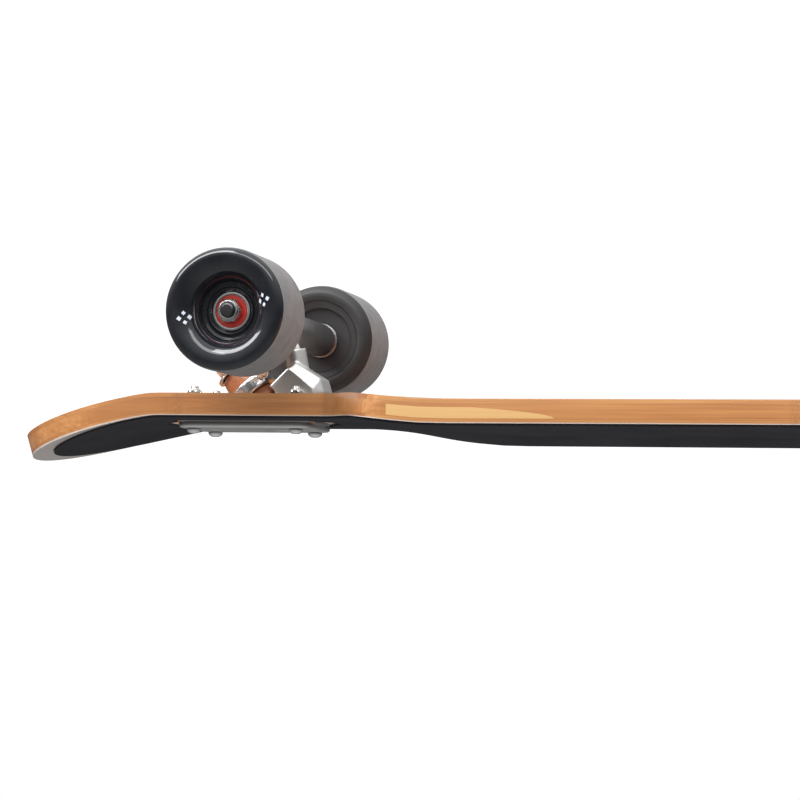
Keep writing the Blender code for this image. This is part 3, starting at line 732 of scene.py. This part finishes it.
def make_deck(finishes):
    deck = sheet_piece("bamboo_deck", deck_grid(), DECK_THICKNESS, finishes["bamboo"])
    apply_modifiers(deck)
    round_rails(deck)
    tools = []
    for truck in TRUCKS.values():
        tools += [truck_opening(truck, "wide"), truck_opening(truck, "slot")]
        for spot in bolt_places():
            hole = lathe(in_mm((0, 75), (2.8, 75), (2.8, 30), (0, 30)), 24)
            tools.append(cutter(hole, truck @ Matrix.Translation(spot)))
    carve(deck, tools)
    store_depth(deck.data)
    smooth(deck.data, 40)
    settle(deck, "board", ["deck"])


def make_grip_tape(finishes):
    bm = deck_grid(GRIP_SIDE_INSET, GRIP_TIP_INSET)
    raise_surface(bm, DECK_THICKNESS + GRIP_LIFT)
    grip = sheet_piece("grip_sheet", bm, GRIP_THICKNESS, finishes["grip"])
    apply_modifiers(grip)
    tools = []
    margin = 2.5 * MM
    for truck in TRUCKS.values():
        low = (PATTERN_OUT - PLATE_LENGTH / 2 - margin, -PLATE_WIDTH / 2 - margin, NUT_SEAT)
        high = (PATTERN_OUT + PLATE_LENGTH / 2 + margin, PLATE_WIDTH / 2 + margin, NUT_SEAT + 50 * MM)
        tools += [cutter(box_mesh(low, high, 8 * MM), truck), truck_opening(truck, "slot", 1 * MM)]
    carve(grip, tools)
    smooth(grip.data, 40)
    settle(grip, "board", ["grip_tape"])


# ---------------------------------------------------------------- trucks

def make_kingpin(end, truck, finishes):
    axis = truck @ along(KINGPIN_DIRECTION, KINGPIN_FOOT)
    steel = finishes["steel"]
    radius = 5 * MM
    threads = [(radius - (0.35 * MM if i % 2 else 0), (15 - i * 0.5) * MM) for i in range(1, 26)]
    profile = [(0, 15 * MM), (radius - 0.9 * MM, 15 * MM)] + threads + [
        (radius, 1 * MM), (radius, -33.7 * MM), (7.4 * MM, -33.7 * MM), (7.4 * MM, -36.8 * MM),
        (6.4 * MM, -37.8 * MM), (3 * MM, -37.8 * MM), (2.6 * MM, -35.5 * MM), (0, -35.3 * MM),
    ]
    turned(f"{end}_kingpin_bolt", profile, axis, steel, "board", [f"{end}_kingpin"], 0.2 * MM)
    hexagon(f"{end}_kingpin_lock_nut", 14.6 * MM, 4.7 * MM, 11 * MM, 5.2 * MM, axis, steel, "board",
            [f"{end}_kingpin_nut"])
    insert = in_mm((5.15, 12.4), (6.2, 12.4), (6.4, 11), (5.15, 11))
    turned(f"{end}_kingpin_nylon", insert, axis, finishes["nylon"], "board", radius=0.3 * MM,
           closed=True)
    for name, rim, low, high in (("boardside", 10.8 * MM, -27.2 * MM, -26 * MM),
                                 ("roadside", 11.5 * MM, 2.8 * MM, 4.3 * MM)):
        profile = [(5.3 * MM, high), (rim, high), (rim, low), (5.3 * MM, low)]
        turned(f"{end}_{name}_cup_washer", profile, axis, steel, "board", [f"{end}_{name}_washer"],
               0.45 * MM, closed=True)
    make_bushing(end, "boardside", (12 * MM, 12 * MM), (-25.7 * MM, -17.3 * MM), axis, finishes)
    make_bushing(end, "roadside", (12 * MM, 9.5 * MM), (-8.7 * MM, 2.5 * MM), axis, finishes)


def make_bushing(end, side, radii, heights, axis, finishes):
    """A urethane barrel or cone, slightly bulged by its preload.

    It sits on its washer and is baked in place, on no body. Its bore widens towards the hanger, to clear the
    kingpin.
    """
    name = f"{end}_{side}"
    low_radius, high_radius = radii
    low, high = heights
    at_washer, at_hanger = (low, high) if side == "boardside" else (high, low)
    across = ("board", f"{end}_truck", axis @ Vector((0, 0, at_washer)), axis @ Vector((0, 0, at_hanger)))
    tight, wide = 5.3 * MM, 6.4 * MM
    low_bore, high_bore = (tight, wide) if side == "boardside" else (wide, tight)
    profile = [(high_bore, high)]
    for step in range(9):
        share = step / 8
        bulge = 0.35 * MM * math.sin(share * math.pi)
        profile.append((high_radius + (low_radius - high_radius) * share - 0.35 * MM + bulge,
                        high + (low - high) * share))
    profile.append((low_bore, low))
    turned(f"{name}_urethane", profile, axis, finishes["bushing"], across,
           [f"{name}_bushing"], 0.8 * MM, closed=True, sharp=60)


def make_axle(end, truck, finishes):
    """The axle, threaded at both ends."""
    radius = AXLE_RADIUS
    half = AXLE_HALF
    top = [(0, half), (radius - 0.9 * MM, half)]
    top += [(radius - (0.3 * MM if i % 2 else 0), half - (0.6 + i * 0.45) * MM) for i in range(22)]
    bottom = [(r, -h) for r, h in reversed(top)]
    turned(f"{end}_axle_rod", top + bottom, truck @ along((0, 1, 0)), finishes["dark_steel"], f"{end}_truck",
           [f"{end}_axle"], 0.15 * MM)


def make_bolts(end, truck, finishes):
    """Pan-head bolts on the grip side, each with a lock nut and a thread end on the underside."""
    steel = finishes["steel"]
    for number, spot in enumerate(bolt_places(), 1):
        place = truck @ Matrix.Translation(spot)
        top = PLATE_TOP + 0.3 * MM
        shank = 2.4 * MM
        threads = [(shank - (0.25 * MM if i % 2 else 0), NUT_SEAT - (0.3 + i * 0.4) * MM) for i in range(17)]
        profile = [
            (0, top + 1.2 * MM), (1.3 * MM, top + 1.3 * MM), (1.6 * MM, top + 2.9 * MM),
            (2.6 * MM, top + 2.6 * MM), (3.9 * MM, top + 1.7 * MM), (4.4 * MM, top + 0.7 * MM),
            (4.4 * MM, top), (shank, top),
        ] + threads + [(0, NUT_SEAT - 7.3 * MM)]
        turned(f"{end}_deck_bolt_{number}", profile, place, steel, "board",
               [f"{end}_mounting_bolt_{number}"], 0.2 * MM, 48)
        hexagon(f"{end}_deck_nut_{number}", 8 * MM, NUT_SEAT - 4.2 * MM, NUT_SEAT - 0.3 * MM, 2.5 * MM, place,
                steel, "board")
        insert = [(2.5 * MM, NUT_SEAT - 4.2 * MM), (3.5 * MM, NUT_SEAT - 4.2 * MM),
                  (3.3 * MM, NUT_SEAT - 5 * MM), (2.5 * MM, NUT_SEAT - 5 * MM)]
        turned(f"{end}_deck_nut_nylon_{number}", insert, place, finishes["nylon"], "board",
               radius=0.2 * MM, steps=48, closed=True)


def make_trucks(finishes):
    for end, truck in TRUCKS.items():
        cast_copy(f"{end}_baseplate", f"{end}_cast_baseplate", finishes["cast"], "board",
                  0.75 * MM, 7)
        cast_copy(f"{end}_hanger", f"{end}_polished_hanger", finishes["polished"], f"{end}_truck",
                  0.75 * MM, 9)
        make_kingpin(end, truck, finishes)
        repaint(f"{end}_pivot_cup", finishes["cup"])
        make_axle(end, truck, finishes)
        make_bolts(end, truck, finishes)


# ---------------------------------------------------------------- wheels

def wheel_profile():
    """The wheel's section from its outer bearing seat round to the inner one, outwards positive."""
    inner = INNER_BEARING
    outer = NEAR_SIDE
    bore = BEARING_RADIUS + 0.25 * MM
    peak, crown = DISH_PEAK * MM, outer + 16 * MM
    dish = []
    for step in range(21):
        angle = math.radians(90 * (1 - step / 20))
        dish.append((peak - DISH_WIDTH * MM * math.sin(angle),
                     crown - DISH_DEPTH * MM * (1 - math.cos(angle))))
    lip = []
    for step in range(1, 13):
        angle = math.radians(84 * step / 12)
        lip.append((peak + 5 * MM * math.sin(angle), crown - 6 * MM * (1 - math.cos(angle))))
    core = [(bore, outer + 0.4 * MM), (11.9 * MM, outer + 0.6 * MM), (12.3 * MM, outer + 1.4 * MM),
            (13.4 * MM, outer + 1.5 * MM), (13.8 * MM, outer + 0.7 * MM), (15.6 * MM, outer + 0.7 * MM),
            (16 * MM, outer + 1.7 * MM), (16.6 * MM, outer + 1.8 * MM)]
    tread = [(WHEEL_RADIUS - 0.02 * MM, outer + 9.5 * MM), (WHEEL_RADIUS - 0.02 * MM, inner + 1 * MM)]
    back = [(34.4 * MM, inner - 2.2 * MM), (32.6 * MM, inner - 5 * MM), (30 * MM, inner - 6.8 * MM),
            (27.5 * MM, inner - 7 * MM), (25.4 * MM, inner - 6.2 * MM), (24.6 * MM, inner - 4.6 * MM),
            (20.4 * MM, inner - 2.6 * MM), (19.6 * MM, inner - 0.2 * MM), (bore, inner)]
    seats = [(bore, inner + BEARING_WIDTH + 0.3 * MM), (9 * MM, inner + BEARING_WIDTH + 0.3 * MM),
             (9 * MM, OUTER_BEARING - 0.3 * MM), (bore, OUTER_BEARING - 0.3 * MM)]
    return core + dish + lip + tread + back + seats


def make_wheel(name, end, outward, finishes):
    body = f"{name}_wheel"
    matrix = TRUCKS[end] @ along((0, outward, 0))
    bm = lathe(fillet(wheel_profile(), 0.5 * MM, 2, True), 144, True)
    bmesh.ops.recalc_face_normals(bm, faces=bm.faces)
    for face in bm.faces:
        spot = face.calc_center_median()
        radial = (face.normal.x * spot.x + face.normal.y * spot.y) / max(math.hypot(spot.x, spot.y), 1e-6)
        if radial > 0.93 and math.hypot(spot.x, spot.y) > WHEEL_RADIUS - 0.6 * MM:
            face.material_index = 1
        elif face.normal.z < 0 and spot.z < INNER_BEARING + 2 * MM:
            face.material_index = 2
    wheel_materials = [finishes[key] for key in ("wheel_face", "wheel_tread", "wheel_back")]
    add_piece(f"{name}_urethane", bm, wheel_materials, body, [f"{name}_wheel"], 38, matrix)
    for side, start, sign in (("inner", INNER_BEARING, -1), ("outer", OUTER_BEARING, 1)):
        make_bearing(name, side, start, sign, matrix, body, finishes)
    make_print(name, matrix, body, finishes)
    outer = NEAR_SIDE
    hexagon(f"{name}_lock_nut", 12.6 * MM, outer + 1.3 * MM, outer + 5.4 * MM, 4.15 * MM, matrix,
            finishes["steel"], f"{end}_truck", [f"{name}_axle_nut"])
    turned(f"{name}_nut_nylon", [(4.2 * MM, outer + 6.9 * MM), (5.5 * MM, outer + 6.9 * MM),
           (5.9 * MM, outer + 5.4 * MM), (4.2 * MM, outer + 5.4 * MM)], matrix, finishes["steel"],
           f"{end}_truck", radius=0.35 * MM, closed=True)
    turned(f"{name}_speed_washer", [(4.2 * MM, outer + 1.2 * MM), (5.4 * MM, outer + 1.2 * MM),
           (5.4 * MM, outer + 0.2 * MM), (4.2 * MM, outer + 0.2 * MM)], matrix, finishes["steel"],
           f"{end}_truck", radius=0.15 * MM, closed=True)


def make_bearing(name, side, start, sign, matrix, body, finishes):
    """Bright outer and inner races with a red shield sunk between them."""
    low = start
    high = start + BEARING_WIDTH
    for part, inner, outer in (("outer_race", 9.3 * MM, BEARING_RADIUS), ("inner_race", 4.25 * MM, 6 * MM)):
        profile = [(inner, high), (outer, high), (outer, low), (inner, low)]
        replaced = [f"{name}_{side}_bearing"] if part == "outer_race" else ()
        turned(f"{name}_{side}_{part}", profile, matrix, finishes["steel"], body, replaced,
               0.45 * MM, closed=True)
    sunk = 0.35 * MM
    inner, outer = 6.1 * MM, 9.2 * MM
    profile = [(inner, high - sunk), (outer, high - sunk), (outer, low + sunk), (inner, low + sunk)]
    turned(f"{name}_{side}_shield", profile, matrix, finishes["red"], body, radius=0.2 * MM,
           closed=True)
    for ring_radius in (6.9 * MM, 8.5 * MM):
        face = high - sunk if sign > 0 else low + sunk
        edge = face + sign * 0.12 * MM
        profile = [(ring_radius, max(face, edge)), (ring_radius + 0.22 * MM, max(face, edge)),
                   (ring_radius + 0.22 * MM, min(face, edge)), (ring_radius, min(face, edge))]
        turned(f"{name}_{side}_shield_rib_{round(ring_radius / MM)}", profile, matrix, finishes["red"], body,
               radius=0.04 * MM, closed=True)


def make_print(name, matrix, body, finishes):
    """Two plain printed marks on the face: a cluster of small rounded lozenges, one across from the other."""
    bm = bmesh.new()
    for turn in (math.radians(12), math.radians(192)):
        for radial, sideways, size in ((21.0, 0, 2.3), (23.6, 2.7, 1.9), (23.6, -2.7, 1.9), (26.2, 0, 2.1)):
            angle = turn + sideways / radial
            reach = (DISH_PEAK - radial) / DISH_WIDTH
            rise = math.sqrt(1 - reach ** 2)
            height = NEAR_SIDE + 1.5 * MM + DISH_DEPTH * MM * rise + 0.05 * MM
            slope = math.atan2(DISH_DEPTH * reach, DISH_WIDTH * rise)
            centre = Vector((radial * MM * math.cos(angle), radial * MM * math.sin(angle), height))
            tilt = Matrix.Rotation(angle, 4, "Z") @ Matrix.Rotation(-slope, 4, "Y")
            spot = Matrix.Translation(centre) @ tilt @ Matrix.Rotation(math.radians(45), 4, "Z")
            tile = bmesh.ops.create_cube(bm, size=size * MM, matrix=spot @ Matrix.Diagonal((1, 1, 0.06, 1)))
            edges = list({edge for vert in tile["verts"] for edge in vert.link_edges})
            bmesh.ops.bevel(bm, geom=edges, offset=0.05 * MM, segments=1, affect="EDGES")
    add_piece(f"{name}_face_print", bm, finishes["print"], body, (), 30, matrix)


# ---------------------------------------------------------------- belt drive

def toothed_outline(count, root, tip):
    """A pulley's outline: flat lands with rounded gaps between them."""
    outline = []
    for tooth in range(count):
        for share, radius in ((0.0, tip), (0.42, tip), (0.52, root + (tip - root) * 0.35), (0.62, root),
                              (0.8, root), (0.9, root + (tip - root) * 0.35)):
            angle = math.tau * (tooth + share) / count
            outline.append((radius * math.cos(angle), radius * math.sin(angle)))
    return outline


def belt_path(first_radius, second_radius, spacing):
    """Points round both pulleys at an even spacing, with their outward directions."""
    span = MOTOR_AXIS.length
    heading = math.atan2(MOTOR_AXIS.z, MOTOR_AXIS.x)
    lean = math.acos((first_radius - second_radius) / span)
    straight = math.sqrt(span ** 2 - (first_radius - second_radius) ** 2)
    arcs = ((0, 0, first_radius, heading + lean, math.tau - 2 * lean),
            (MOTOR_AXIS.x, MOTOR_AXIS.z, second_radius, heading - lean, 2 * lean))
    total = first_radius * arcs[0][4] + second_radius * arcs[1][4] + 2 * straight
    count = round(total / spacing)
    points = []
    for number in range(count):
        run = total * number / count
        for cx, cz, radius, start, sweep in arcs:
            if run < radius * sweep:
                angle = start + run / radius
                out = Vector((math.cos(angle), math.sin(angle)))
                points.append((Vector((cx, cz)) + out * radius, out))
                break
            run -= radius * sweep
            end = start + sweep
            out = Vector((math.cos(end), math.sin(end)))
            if run < straight:
                forward = Vector((-out.y, out.x))
                points.append((Vector((cx, cz)) + out * radius + forward * run, out))
                break
            run -= straight
    return points


def make_belt(truck, finishes):
    """The toothed belt, as a closed band between an even outer face and a toothed inner one."""
    low, high = BELT_LOW, BELT_HIGH
    points = belt_path(28.9 * MM, 12.1 * MM, 1.0 * MM)
    bm = bmesh.new()
    rings = []
    for number, (spot, out) in enumerate(points):
        tooth = 1.25 * MM if number % 5 in (1, 2) else 0.0
        near = spot + out * (1.3 * MM - tooth)
        far = spot + out * 2.6 * MM
        corners = ((near, low), (far, low), (far, high), (near, high))
        rings.append([bm.verts.new((p.x, y, p.y)) for p, y in corners])
    for first, second in zip(rings, rings[1:] + rings[:1]):
        for k in range(4):
            bm.faces.new((first[k], first[(k + 1) % 4], second[(k + 1) % 4], second[k]))
    add_piece("toothed_belt", bm, finishes["rubber"], "rear_truck", ["drive_belt"], 40, truck)


def make_pulleys(truck, finishes):
    dark = finishes["dark_metal"]
    bm = prism_mesh(toothed_outline(36, 26.6 * MM, 28.4 * MM), PULLEY_LOW, PULLEY_HIGH)
    wheel_pulley = add_piece("wheel_pulley_teeth", bm, dark, "rear_right_wheel",
                             ["wheel_pulley"], 30, truck)
    sideways = truck @ along((0, 1, 0))
    tools = [cutter(lathe([(0, 0.1), (24 * MM, 0.1), (22 * MM, -0.1), (0, -0.1)], 64), sideways)]
    carve(wheel_pulley, tools)
    smooth(wheel_pulley.data, 30)
    web = in_mm((12.4, 77.4), (16, 77.4), (16.2, 69.8), (24.5, 68.6), (24.5, 62), (12.4, 61.6))
    turned("wheel_pulley_web", web, sideways, dark, "rear_right_wheel", radius=0.6 * MM,
           closed=True)
    for number in range(6):
        spot = sideways @ Matrix.Rotation(math.tau * number / 6, 4, "Z") @ Matrix.Translation((20 * MM, 0, 0))
        head = in_mm((0, 60.9), (1.1, 60.9), (1.2, 60), (2.6, 60), (2.6, 62.2), (0, 62.2))
        turned(f"wheel_pulley_screw_{number}", list(reversed(head)), spot, finishes["steel"],
               "rear_right_wheel", radius=0.25 * MM, steps=32)
    motor_axis = truck @ along((0, 1, 0), MOTOR_AXIS)
    bm = prism_mesh(toothed_outline(15, 10.2 * MM, 11.6 * MM), PULLEY_LOW, PULLEY_HIGH)
    small = add_piece("motor_pulley_teeth", bm, finishes["steel"], "motor_rotor",
                      ["motor_pulley"], 30, truck @ Matrix.Translation(MOTOR_AXIS))
    carve(small, [cutter(lathe([(0, 0.1), (4.2 * MM, 0.1), (4.2 * MM, -0.1), (0, -0.1)], 48), motor_axis)])
    smooth(small.data, 30)


def make_motor(truck, finishes):
    axis = truck @ along((0, 1, 0), MOTOR_AXIS)
    fins = [(25 * MM if i % 2 == 0 else 24.2 * MM, (46 - i * 1.0) * MM) for i in range(23)]
    front = in_mm((0, 71.2), (3.6, 71.2), (4, 70.6), (4, 48.6), (21.5, 48.6), (24.6, 47.2))
    back = in_mm((24.6, 20.5), (22.5, 18.2), (7, 18.2), (6, 19.4), (3, 19.4), (2.6, 18.2), (0, 18.2))
    can = turned("motor_bell", front + fins + back, axis, finishes["dark_steel"], "motor_rotor",
                 ["motor_can"], 0.35 * MM)
    tools = []
    for number in range(8):
        turn = axis @ Matrix.Rotation(math.tau * number / 8, 4, "Z")
        window = box_mesh((10 * MM, -3.2 * MM, 15 * MM), (20 * MM, 3.2 * MM, 22.5 * MM), 0)
        tools.append(cutter(window, turn))
    carve(can, tools)
    smooth(can.data, 32)
    for number in range(16):
        turn = axis @ Matrix.Rotation(math.tau * (number + 0.5) / 16, 4, "Z")
        coil = lathe(fillet(in_mm((0, 1.9), (1.9, 1.9), (1.9, -1.9), (0, -1.9)), 1.2 * MM), 16)
        add_piece(f"motor_coil_{number}", coil, finishes["copper"], "motor_rotor", (), 50,
                  turn @ Matrix.Translation((15 * MM, 0, 24.4 * MM)))
    base = in_mm((4.6, 53.5), (21.8, 53.5), (21.8, 50.4), (19, 49.2), (4.6, 49.2))
    turned("motor_flange", base, axis, finishes["dark_metal"], "rear_truck", ["motor_base"],
           0.5 * MM, closed=True)


def make_motor_mount(truck, finishes):
    piece = copy_node("motor_mount", "motor_mount_plate", finishes["anodised"])
    bevel(piece, 0.7 * MM, 3, 40)
    apply_modifiers(piece)
    smooth(piece.data, 35)
    settle(piece, "rear_truck", ["motor_mount"])
    for number in range(4):
        angle = math.radians(45 + 90 * number)
        spot = MOTOR_AXIS + Vector((14 * MM * math.cos(angle), 0, 14 * MM * math.sin(angle)))
        head = in_mm((0, 60), (1.3, 60), (1.4, 60.1), (2.6, 60.1), (2.6, 59.1), (0, 59.1))
        turned(f"motor_screw_{number}", head, truck @ along((0, 1, 0), spot), finishes["steel"], "rear_truck",
               radius=0.3 * MM, steps=32)


# ---------------------------------------------------------------- battery enclosure

def make_enclosure(finishes):
    cast_copy("battery_enclosure", "battery_box", finishes["shell"], "board", 1.1 * MM, 3)
    low, high = (Vector(c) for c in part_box("battery_enclosure"))
    flange_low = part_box("enclosure_seal")[0][2] - 0.3 * MM - 2.5 * MM
    inset = 4 * MM
    spots = []
    for side in (-1, 1):
        for step in range(6):
            x = low.x + 18 * MM + (high.x - low.x - 36 * MM) * step / 5
            spots.append((x, side * (high.y - inset)))
    for number, (x, y) in enumerate(spots):
        place = Matrix.Translation((x, y, flange_low)) @ Matrix.Rotation(math.pi, 4, "X")
        head = in_mm((0, 0.9), (1.2, 0.9), (1.3, 1.9), (2.2, 1.7), (3.1, 0.7), (3.1, 0), (0, 0))
        turned(f"enclosure_screw_{number}", head, place, finishes["dark_steel"], "board",
               radius=0.25 * MM, steps=40)
    for node, material in (("enclosure_seal", "rubber"), ("battery_pack", "wrap"),
                           ("motor_controller", "dark_metal")):
        repaint(node, finishes[material])


def make_fittings(finishes):
    """The power button with its ring, the level lamps, the charging socket and the cable gland."""
    button = middle("power_button")
    out = along((0, -1, 0), (button.x, 0, button.z))
    profile = in_mm((0, 52.1), (3.4, 52.1), (4.2, 52.5), (5.3, 52.4), (6, 51.7), (6, 47.2), (8, 47.2),
                    (8, 45.2), (0, 45.2))
    turned("power_button_cap", profile, out, finishes["fitting"], "power_button",
           ["power_button"], 0.4 * MM)
    ring = in_mm((3.3, 52.25), (3.9, 52.3), (3.9, 51.8), (3.3, 51.8))
    turned("power_button_ring", ring, out, finishes["mark"], "power_button",
           radius=0.1 * MM, closed=True)
    bezel = in_mm((6.5, 51), (7.6, 51), (8.4, 49.9), (6.5, 49.9))
    turned("power_button_bezel", bezel, out, finishes["steel"], "board", radius=0.3 * MM,
           closed=True)
    for number in range(4):
        spot = along((0, -1, 0), (button.x - (14 + 5 * number) * MM, 0, button.z))
        lens = in_mm((0, 50.6), (1.0, 50.5), (1.4, 50.1), (1.4, 49.6), (0, 49.6))
        turned(f"level_lamp_{number}", lens, spot, finishes["lamp"], "board",
               radius=0.2 * MM, steps=32)
    port = middle("charge_port")
    repaint("charge_port", finishes["fitting"])
    for number in range(3):
        angle = math.radians(90 + 120 * number)
        spot = (port.x + 2.3 * MM * math.cos(angle), 0, port.z + 2.3 * MM * math.sin(angle))
        pin = in_mm((0, 49.2), (0.6, 49), (0.7, 48.6), (0.7, 43), (0, 43))
        turned(f"charge_pin_{number}", pin, along((0, -1, 0), spot), finishes["copper"], "board",
               radius=0.2 * MM, steps=24)
    gland = middle("cable_gland")
    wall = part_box("cable_gland")[0][0] + 8 * MM
    ribs = [(7.5 * MM if i % 2 == 0 else 7.0 * MM, (4 - i * 0.45) * MM) for i in range(8)]
    profile = in_mm((0, 5), (2.6, 5), (3.2, 8), (4.6, 7.4)) + ribs + [
        (7.4 * MM, 0.4 * MM), (5.1 * MM, 0.3 * MM), (5.1 * MM, -5 * MM), (0, -5 * MM)]
    turned("cable_gland_ribbed", profile, along((-1, 0, 0), (wall, 0, gland.z)), finishes["rubber"], "board",
           ["cable_gland"], 0.2 * MM)


# ---------------------------------------------------------------- scene

def make_floor():
    finish = Finish("floor", 0.9, 0.0, (0.22, 0.22, 0.22))
    finish.set("Emission Color", (1, 1, 1, 1))
    finish.set("Emission Strength", 1.0)
    mesh = bpy.data.meshes.new("floor")
    bm = bmesh.new()
    bmesh.ops.create_grid(bm, x_segments=2, y_segments=2, size=30)
    bm.to_mesh(mesh)
    bm.free()
    mesh.materials.append(finish.material)
    floor = new_object("floor", mesh)
    floor.location.z = -0.2 * MM
    floor.visible_shadow = False
    floor.visible_glossy = False


def add_light(name, spot, target, across, size, power, glossy=True):
    """A soft box of the given size, its length lying along the direction across."""
    data = bpy.data.lights.new(name, "AREA")
    data.shape = "RECTANGLE"
    data.size, data.size_y = size
    data.energy = power
    light = new_object(name, data)
    back = (Vector(spot) - Vector(target)).normalized()
    upright = back.cross(Vector(across)).normalized()
    light.visible_glossy = glossy
    turn = Matrix((upright.cross(back), upright, back)).transposed().to_4x4()
    light.matrix_world = Matrix.Translation(spot) @ turn


def make_world():
    """White where the camera sees it; for the light it gives, darker towards the horizon."""
    world = bpy.data.worlds.new("studio")
    world.use_nodes = True
    nodes, links = world.node_tree.nodes, world.node_tree.links
    shade = nodes["Background"]
    direction = nodes.new("ShaderNodeTexCoord")
    split = nodes.new("ShaderNodeSeparateXYZ")
    links.new(direction.outputs["Generated"], split.inputs[0])
    height = nodes.new("ShaderNodeMapRange")
    height.inputs["From Min"].default_value = -1
    links.new(split.outputs["Z"], height.inputs["Value"])
    ramp = nodes.new("ShaderNodeValToRGB")
    links.new(height.outputs["Result"], ramp.inputs["Fac"])
    while len(ramp.color_ramp.elements) < len(WORLD_GREYS):
        ramp.color_ramp.elements.new(0.5)
    for element, (spot, grey) in zip(ramp.color_ramp.elements, WORLD_GREYS):
        element.position = spot
        element.color = (grey, grey, grey, 1)
    seen = nodes.new("ShaderNodeLightPath")
    choice = nodes.new("ShaderNodeMix")
    choice.data_type = "RGBA"
    links.new(seen.outputs["Is Camera Ray"], choice.inputs[0])
    links.new(ramp.outputs["Color"], choice.inputs[6])
    choice.inputs[7].default_value = (1, 1, 1, 1)
    links.new(choice.outputs[2], shade.inputs["Color"])
    bpy.context.scene.world = world


def make_lights():
    """Two long soft boxes below, which shine along the wheel's lip and the rail, and a weak one above."""
    wheel = (AXLE_X, -0.12, AXLE_HEIGHT)
    add_light("key_below", (1.33, -0.78, -1.32), wheel, (0.94, 0, 0.34), (1.7, 0.7), 46)
    add_light("strip_below", (0.05, -0.95, -1.15), (0.05, -0.12, 0.09), (1, 0, 0), (1.7, 0.4), 13)
    add_light("fill_above", (-0.6, -1.4, 1.6), (0, 0, 0.05), (1, 0, 0), (1.4, 1.0), 10, glossy=False)


def make_camera():
    """Level with the deck and a little above it, upside down, aimed at the nose half."""
    yaw, pitch, roll = (math.radians(angle) for angle in CAMERA_ANGLES)
    forward = Vector((math.sin(yaw) * math.cos(pitch), math.cos(yaw) * math.cos(pitch), math.sin(pitch)))
    side = Vector((math.cos(yaw), -math.sin(yaw), 0))
    up = side.cross(forward)
    right = -(side * math.cos(roll) + up * math.sin(roll))
    top = side * math.sin(roll) - up * math.cos(roll)
    data = bpy.data.cameras.new("camera")
    data.sensor_width = 36
    data.lens = CAMERA_LENS
    camera = new_object("camera", data)
    matrix = Matrix((right, top, -forward)).transposed().to_4x4()
    camera.matrix_world = Matrix.Translation(CAMERA_PLACE) @ matrix
    bpy.context.scene.camera = camera


make_camera()
FINISHES = make_finishes()
make_deck(FINISHES)
make_grip_tape(FINISHES)
make_trucks(FINISHES)
for wheel_name, (wheel_end, wheel_side) in WHEELS.items():
    make_wheel(wheel_name, wheel_end, wheel_side, FINISHES)
make_belt(TRUCKS["rear"], FINISHES)
make_pulleys(TRUCKS["rear"], FINISHES)
make_motor(TRUCKS["rear"], FINISHES)
make_motor_mount(TRUCKS["rear"], FINISHES)
make_enclosure(FINISHES)
make_fittings(FINISHES)
make_floor()
bpy.context.scene.view_settings.view_transform = "Standard"
make_world()
make_lights()
